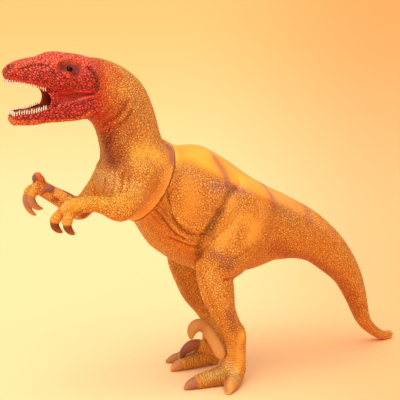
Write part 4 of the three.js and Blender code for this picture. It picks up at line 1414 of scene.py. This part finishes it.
# In head_paint, the near-black rows socket, snout_groove, behind_eye, nostril, behind_jowl and
# mouth_fold are painted shade in the hollows that the strokes sink; the pale rows lower_lip,
# brow_edge, snout_rim and under_eye are painted highlight on the raised ridges.
head_paint = [
    ("snout_recess", 0xC04438, 6, 0.4), ("socket", 0x4A0402, 11, 1),
    ("snout_groove", 0x640C06, 2.6, 0.8), ("behind_eye", 0x3C0402, 2.8, 0.9),
    ("nostril", 0x380604, 2.4, 0.9), ("jowl", 0xC03A30, 8, 0.5),
    ("behind_jowl", 0x6A1006, 3.4, 0.8), ("upper_lip", 0xB82C0C, 2.2, 0.8),
    ("membrane", 0x9A2414, 6, 0.8), ("mouth_fold", 0x300606, 2.4, 0.9),
    ("lower_lip", 0xDC7A70, 2, 0.6), ("jaw_edge", 0xFF8A1C, 4.5, 1), ("jaw_front", 0xFF8A28, 6, 1),
    ("snout_front", 0x9C1C14, 7, 0.7), ("brow_edge", 0xF0846A, 2.2, 0.7),
    ("lid_top", 0xB82214, 1.6, 0.8), ("lid_bottom", 0xC03020, 1.6, 0.7),
    ("snout_rim", 0xE46450, 3, 0.5), ("under_eye", 0xD86050, 2, 0.6),
]
front_smooth = [("socket", 12, 1), ("mouth_fold", 5, 1), ("shoulder", 13, 0.3),
                ("upper_lip", 2.6, 0.8), ("membrane", 6, 1)]
# under_wrist and far_forearm are painted shade on the far arm under the near hand.
far_arm_paint = [("under_wrist", 0xA8481C, 6, 0.85), ("far_forearm", 0x9A4418, 5, 0.85),
                 ("far_thumb", 0xF0702C, 5, 0.9), ("far_thumb_side", 0x7A5458, 3, 0.8)]
# In rear_paint, belly, flank_low and tail_low are painted shade on the underside; flank_groove,
# fold_2 and thigh_crease are painted shade in grooves; flank_ridge, fold_2_ridge and shin_ridge are
# painted highlight on ridges; flank_gold, hip_gold, hip_bright and thigh_gold are a lighter gold as
# painted highlight where the light falls.
rear_paint = [
    ("belly", 0xDC7C18, 20, 0.9), ("behind_seam", 0xD07A34, 9, 0.6),
    ("flank_pale", 0xF0A864, 14, 0.6), ("flank_gold", 0xF8A234, 18, 0.8),
    ("mauve_zone", 0xD89478, 12, 0.8), ("hip_gold", 0xF0A040, 16, 0.7),
    ("hip_bright", 0xFFB848, 13, 0.8), ("thigh_gold", 0xFFB64C, 14, 0.8),
    ("green_zone", 0xD4A462, 10, 0.6), ("crease_shade", 0x9C5A1C, 8, 0.8),
    ("thigh_crease", 0xA8661C, 6, 0.6), ("flank_ridge", 0xFFB860, 2.6, 0.6),
    ("fold_2_ridge", 0xFFB860, 2.4, 0.6), ("fold_2", 0xB4641C, 2.6, 0.5),
    ("flank_groove", 0xB4681C, 3, 0.5), ("far_shin", 0xC8762C, 9, 0.6),
    ("flank_low", 0xCC701C, 9, 0.7), ("shin_side", 0xFFBC60, 10, 0.7),
    ("shin_ridge", 0xFAC080, 3, 0.85), ("knee_mauve", 0xB86C58, 8, 0.7),
    ("knee_back", 0xA86040, 8, 0.7), ("shin_mauve", 0xB0664C, 8, 0.65),
    ("heel_gold", 0xFFB448, 7, 0.85), ("ankle_shade", 0xC88A50, 6, 0.6),
    ("ankle_gold", 0xFFC060, 6, 0.8), ("toe_pale", 0xFFD080, 9, 0.8),
    ("foot_gold", 0xFFD080, 10, 0.85), ("tail_top", 0xF2A442, 10, 0.5),
    ("tail_low", 0xD0700C, 15, 0.85), ("tail_end", 0xE89434, 9, 0.6),
]
rear_smooth = [("flank_gold", 16, 0.3), ("thigh_gold", 16, 0.3), ("hip_gold", 16, 0.3),
               ("hip_bright", 16, 0.3), ("belly", 16, 0.3)]
# Stripes run over the back: they are laid by their distance with the width counted at 0.3.
rear_stripes = [
    ("stripe_1", 0xB87058, 8, 0.8), ("stripe_2", 0xCC8068, 8, 0.85),
    ("stripe_3", 0xD08060, 10, 0.7),
]
flat = np.array([1, 0.3, 1])
# Where wrinkle rings start on an arm, leg, finger or toe, as a share of its length
front_wrinkles = {0: 0.9, 1: 0.2, 2: 0.2, 3: 0.35, 4: 0.9, 5: 0.1, 6: 0.1}
rear_wrinkles = {0: 0.72, 2: 0, 3: 0, 4: 0.72, 6: 0, 7: 0, 5: 0.1}
# The colours of each claw's base and point, by limb number
red_claw = (0x68281C, 0xB44A20)
grey_claw = (0xA87058, 0xC8844E)
front_claw_codes = {1: red_claw, 2: red_claw, 3: (0x7A3A38, 0x9A4A38), 5: grey_claw, 6: grey_claw,
                    7: (0x8A5048, 0x6E5058)}
rear_claw_codes = {1: (0xC48A50, 0xA8703C), 2: (0x9A604C, 0xB8764A), 3: (0xC88A50, 0xE0A04A),
                   5: (0x8A4A34, 0x6A2E2A), 6: (0xB87848, 0xC88A4A), 7: (0xA06848, 0xB87848)}
rim_shade = 0x6A3210


class Paint:
    """Colours laid one over another on a skin's points, with the masks that the finish reads."""

    def __init__(self, made, base):
        self.mesh = made.data
        self.points = (read_values(self.mesh.vertices, "co", 3) - place) / MM
        self.edges = read_values(self.mesh.edges, "vertices", 2, np.int32)
        self.normals = read_values(self.mesh.vertex_normals, "vector", 3)
        self.colour = np.tile(linear(base), (len(self.points), 1))
        self.grain = np.ones(len(self.points))
        self.rings, self.along, self.hatch = np.zeros((3, len(self.points)))

    def lay(self, code, mask):
        """Covers the paint with a colour by a mask."""
        self.colour += (linear(code) - self.colour) * mask[:, None]

    def line(self, code, rail, reach, strength):
        """Lays a colour along a line on both sides."""
        self.lay(code, both_sides(self.points, spread_line(rail, reach / 3), reach) * strength)

    def coat(self, table, lines):
        """Lays each row of a table of paint."""
        for name, code, reach, strength in table:
            self.line(code, lines[name], reach, strength)

    def rim(self, away):
        """Darkens the edge beside the seam, by the distance from it."""
        self.lay(rim_shade, ramp(away, 1.1, 0.5) * 0.9)

    def smooth(self, mask):
        """Takes scales off by a mask."""
        self.grain *= 1 - mask

    def smooth_lines(self, table, lines):
        """Takes scales off by each row of a table of smooth."""
        for name, reach, strength in table:
            self.smooth(both_sides(self.points, lines[name], reach) * strength)

    def wash_shade_and_highlight(self, strength):
        """Painted shade in the hollows and painted highlight on the crests, over a dark wash:
        darkens hollows and lightens crests, by how far a relaxed copy of the skin lies outside or
        inside each point."""
        soft = self.points
        for _ in range(14):
            soft = neighbour_mean(self.edges, soft)
        hollow = ((soft - self.points) * self.normals).sum(1)
        self.colour *= 1 - np.outer(ramp(hollow, 0, 0.7) * strength, [0.45, 0.62, 0.7])
        self.colour *= 1 + np.outer(ramp(-hollow, 0.2, 0.9) * strength, [0.25, 0.25, 0.25])

    def store(self):
        """Puts the paint and the masks on the mesh as attributes."""
        paint = np.column_stack([self.colour, np.ones(len(self.points))]).astype(np.float32)
        attributes = self.mesh.attributes
        attributes.new("paint", "FLOAT_COLOR", "POINT").data.foreach_set("color", paint.ravel())
        for name in ("grain", "rings", "along", "hatch"):
            values = getattr(self, name).astype(np.float32)
            attributes.new(name, "FLOAT", "POINT").data.foreach_set("value", values)


def limb_paint(paint, limbs, claws, wrinkled, claw_codes):
    """Wrinkle rings along limbs, fingers and toes, and darker, smooth claws with other points."""
    widest = 1.9
    best, lead, along, share, which = limb_marks(paint.points, limbs)
    for number, start in wrinkled.items():
        mine = (which == number) & (best < widest)
        mask = mine * ramp(share, start - 0.12, start + 0.08) * ramp(lead, 0.02, 0.3)
        paint.rings = np.maximum(paint.rings, mask * (0.55 if start else 1))
        paint.along = np.where(mine, along, paint.along)
        paint.smooth(mask * 0.5)
    for number, start in claws.items():
        mine = (which == number) & (best < widest)
        claw = mine * ramp(share, start - 0.05, start + 0.03)
        base, tip = claw_codes[number]
        paint.lay(base, claw * 0.92)
        paint.lay(tip, mine * ramp(share, start + 0.12, 1) * 0.85)
        paint.smooth(claw)
        paint.rings *= 1 - claw


def mouth_masks(points):
    """1 inside the mouth, and 1 in its throat, which is painted dark as shade. A point is inside
    where
    the larger of two shares is under 1: its way to the side over the space's half width, and its
    way up or down over the half height."""
    x, y, z = points.T
    line = curve(mouth_stations(), np.linspace(0, 1, 33))[0]
    middle, across, tall = (np.interp(-x, -line[:, 0], line[:, k]) for k in (2, 3, 4))
    share = np.maximum(np.abs(y) / across, np.abs(z - middle) / tall)
    inside = ramp(share, 1.12, 1.0) * (x < line[0, 0] + 6) * (x > line[-1, 0] - 10)
    return inside, inside * ramp(x, line[12, 0], line[6, 0])


def paint_front(made, lines):
    """Golden chest and arms, and a red head whose colour fades out over the neck."""
    p = Paint(made, 0xF2A84C)
    x, _, z = p.points.T
    p.lay(0xF6A842, ramp(z, seam_height + 6, seam_height - 8))
    p.coat(front_paint, lines)
    red_from = head_base[0] + 12
    red = ramp(x, red_from + 9, red_from - 9) * ramp(z, seam_height + 50, seam_height + 62)
    blush = ramp(x, red_from + 26, red_from - 2) * ramp(z, seam_height + 44, seam_height + 66)
    p.lay(0xEE5A20, blush * 0.85)
    p.lay(0xC8140A, red)
    # Painted highlight: the top of the head is laid a lighter coral than its sides.
    p.lay(0xFF5E40, red * ramp(z, head_base[2] + 12, head_base[2] + 25))
    p.hatch = red * ramp(x, red_from + 2, red_from - 8)
    p.coat(head_paint, lines)
    p.smooth_lines(front_smooth, lines)
    forward = (p.points - seam_centre) @ seam_axis
    band = ramp(forward, 18, 3)
    p.lay(0xCC7C30, band * 0.35)
    p.smooth(band * 0.55)
    p.line(0xA4565C, lines["mauve"], 9, 0.8)
    p.rim(forward)
    limb_paint(p, left_arm + right_arm, front_claws, front_wrinkles, front_claw_codes)
    inside, throat = mouth_masks(p.points)
    p.lay(0xA83424, inside)
    # Painted shade: the throat deep in the mouth is laid near black.
    p.lay(0x2A0606, throat)
    p.smooth(inside)
    p.coat(far_arm_paint, lines)
    # Painted shade in the hollows and painted highlight on the crests, over a dark wash.
    p.wash_shade_and_highlight(0.85)
    p.store()


def paint_rear(made, lines):
    """A golden body that is brighter and smoother along the back as a painted highlight, with mauve
    stripes over it.
    """
    p = Paint(made, 0xF0A03A)
    x, _, z = p.points.T
    p.rim((seam_centre - p.points) @ seam_axis)
    p.coat(rear_paint, lines)
    p.smooth_lines(rear_smooth, lines)
    spine = trunk_stations()
    below = np.interp(x, spine[:, 0], spine[:, 2] + spine[:, 4]) - z
    back_start, back_end = lines["back_top"][[0, -1], 0]
    depth = np.interp(x, [back_start, back_end], [22, 13])
    top = ramp(below, depth, depth * 0.4)
    behind = ramp(x, back_start + 40, back_end + 30)
    # Painted highlight: the top of the back, and of the tail behind it, is laid lighter and its
    # scales taken off.
    p.lay(0xFFAE3C, top * (1 - behind) * 0.95)
    p.lay(0xFFB458, top * behind * ramp(x, back_end + 110, back_end) * 0.85)
    p.smooth(top * ramp(x, back_end + 110, back_end - 30) * 0.9)
    for name, code, reach, strength in rear_stripes:
        stripe = spread_line(lines[name] * flat, reach / 3)
        p.lay(code, both_sides(p.points * flat, stripe, reach) * strength)
    limb_paint(p, left_foot + right_foot, rear_claws, rear_wrinkles, rear_claw_codes)
    p.line(0x8A5048, lines["outer_toe_shade"], 4.5, 0.6)
    p.smooth_lines([("heel_gold", 7, 0.7)], lines)
    # Painted shade in the hollows and painted highlight on the crests, over a dark wash.
    p.wash_shade_and_highlight(0.8)
    p.store()


# Making and dressing the pieces


def dress(piece, body, node, slot, material):
    """Gives a piece its finish, the body it moves with and the solid it replaces; slot is not used.
    """
    piece.data.shade_smooth()
    piece.data.materials.clear()
    piece.data.materials.append(material)
    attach(piece, body)
    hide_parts(node)


def dress_skin(body, clay, lines, open_up, paint):
    """Opens a sculpted moulding at the seam, thins, paints and dresses it."""
    skin = thinned(open_up(clay.store()), most_triangles)
    paint(skin, lines)
    dress(skin, body, body + "_shell", body + "_vinyl", vinyl(body + "_vinyl"))


make_camera()
make_lights()
make_floor()

clay, lines = make_front()
eye_pixel, eye_stands_out = (69.9, 70), 1.7
eye_spot = on_skin(clay.surface(), [eye_pixel])[0] - LEFT * eye_stands_out
dress_skin("front", clay, lines, open_front, paint_front)
dress_skin("rear", *make_rear(), open_rear, paint_rear)

ivory = teeth_finish()
for name, stations, opens, past_end, count, length in (
        ("upper", skull_stations(), -1, 3, upper_tooth_count, upper_tooth_length),
        ("lower", jaw_stations(), 1, -0.8, lower_tooth_count, lower_tooth_length)):
    teeth = tooth_row(name + "_tooth_row", stations[4:], opens, past_end, count, length)
    dress(teeth, "front", name + "_teeth", "tooth_plastic", ivory)
soft_pink = satin("tongue_vinyl", 0xB5573F, 0x9A4638, 180, 0.35, 0.0002)
dress(make_tongue(), "front", "tongue", "tongue_vinyl", soft_pink)
bead = satin("eye_plastic", 0x120806, 0x080403, 300, 0.12, 0.00001, 0.15)
dress(make_eye("left_bead", eye_spot), "front", "left_eye", "eye_plastic", bead)
dress(make_eye("right_bead", mirrored(eye_spot)), "front", "right_eye", "eye_plastic", bead)

fibre = satin("fibre_fill", 0xF2EEE4, 0xD9D4C8, 120, 0.9, 0.002)
for body, hollow, low, high in (
        ("rear", trunk_hollow(snug), lip_back - clearance, outside),
        ("front", chest_hollow(snug), -outside, rim_depth + clearance)):
    carved(hollow, new_object("stuffing_end", *disc(outside, low, high)))
    stuffing = make_stuffing(body + "_stuffing", hollow)
    dress(stuffing, body, body + "_fill", "fibre_fill", fibre)
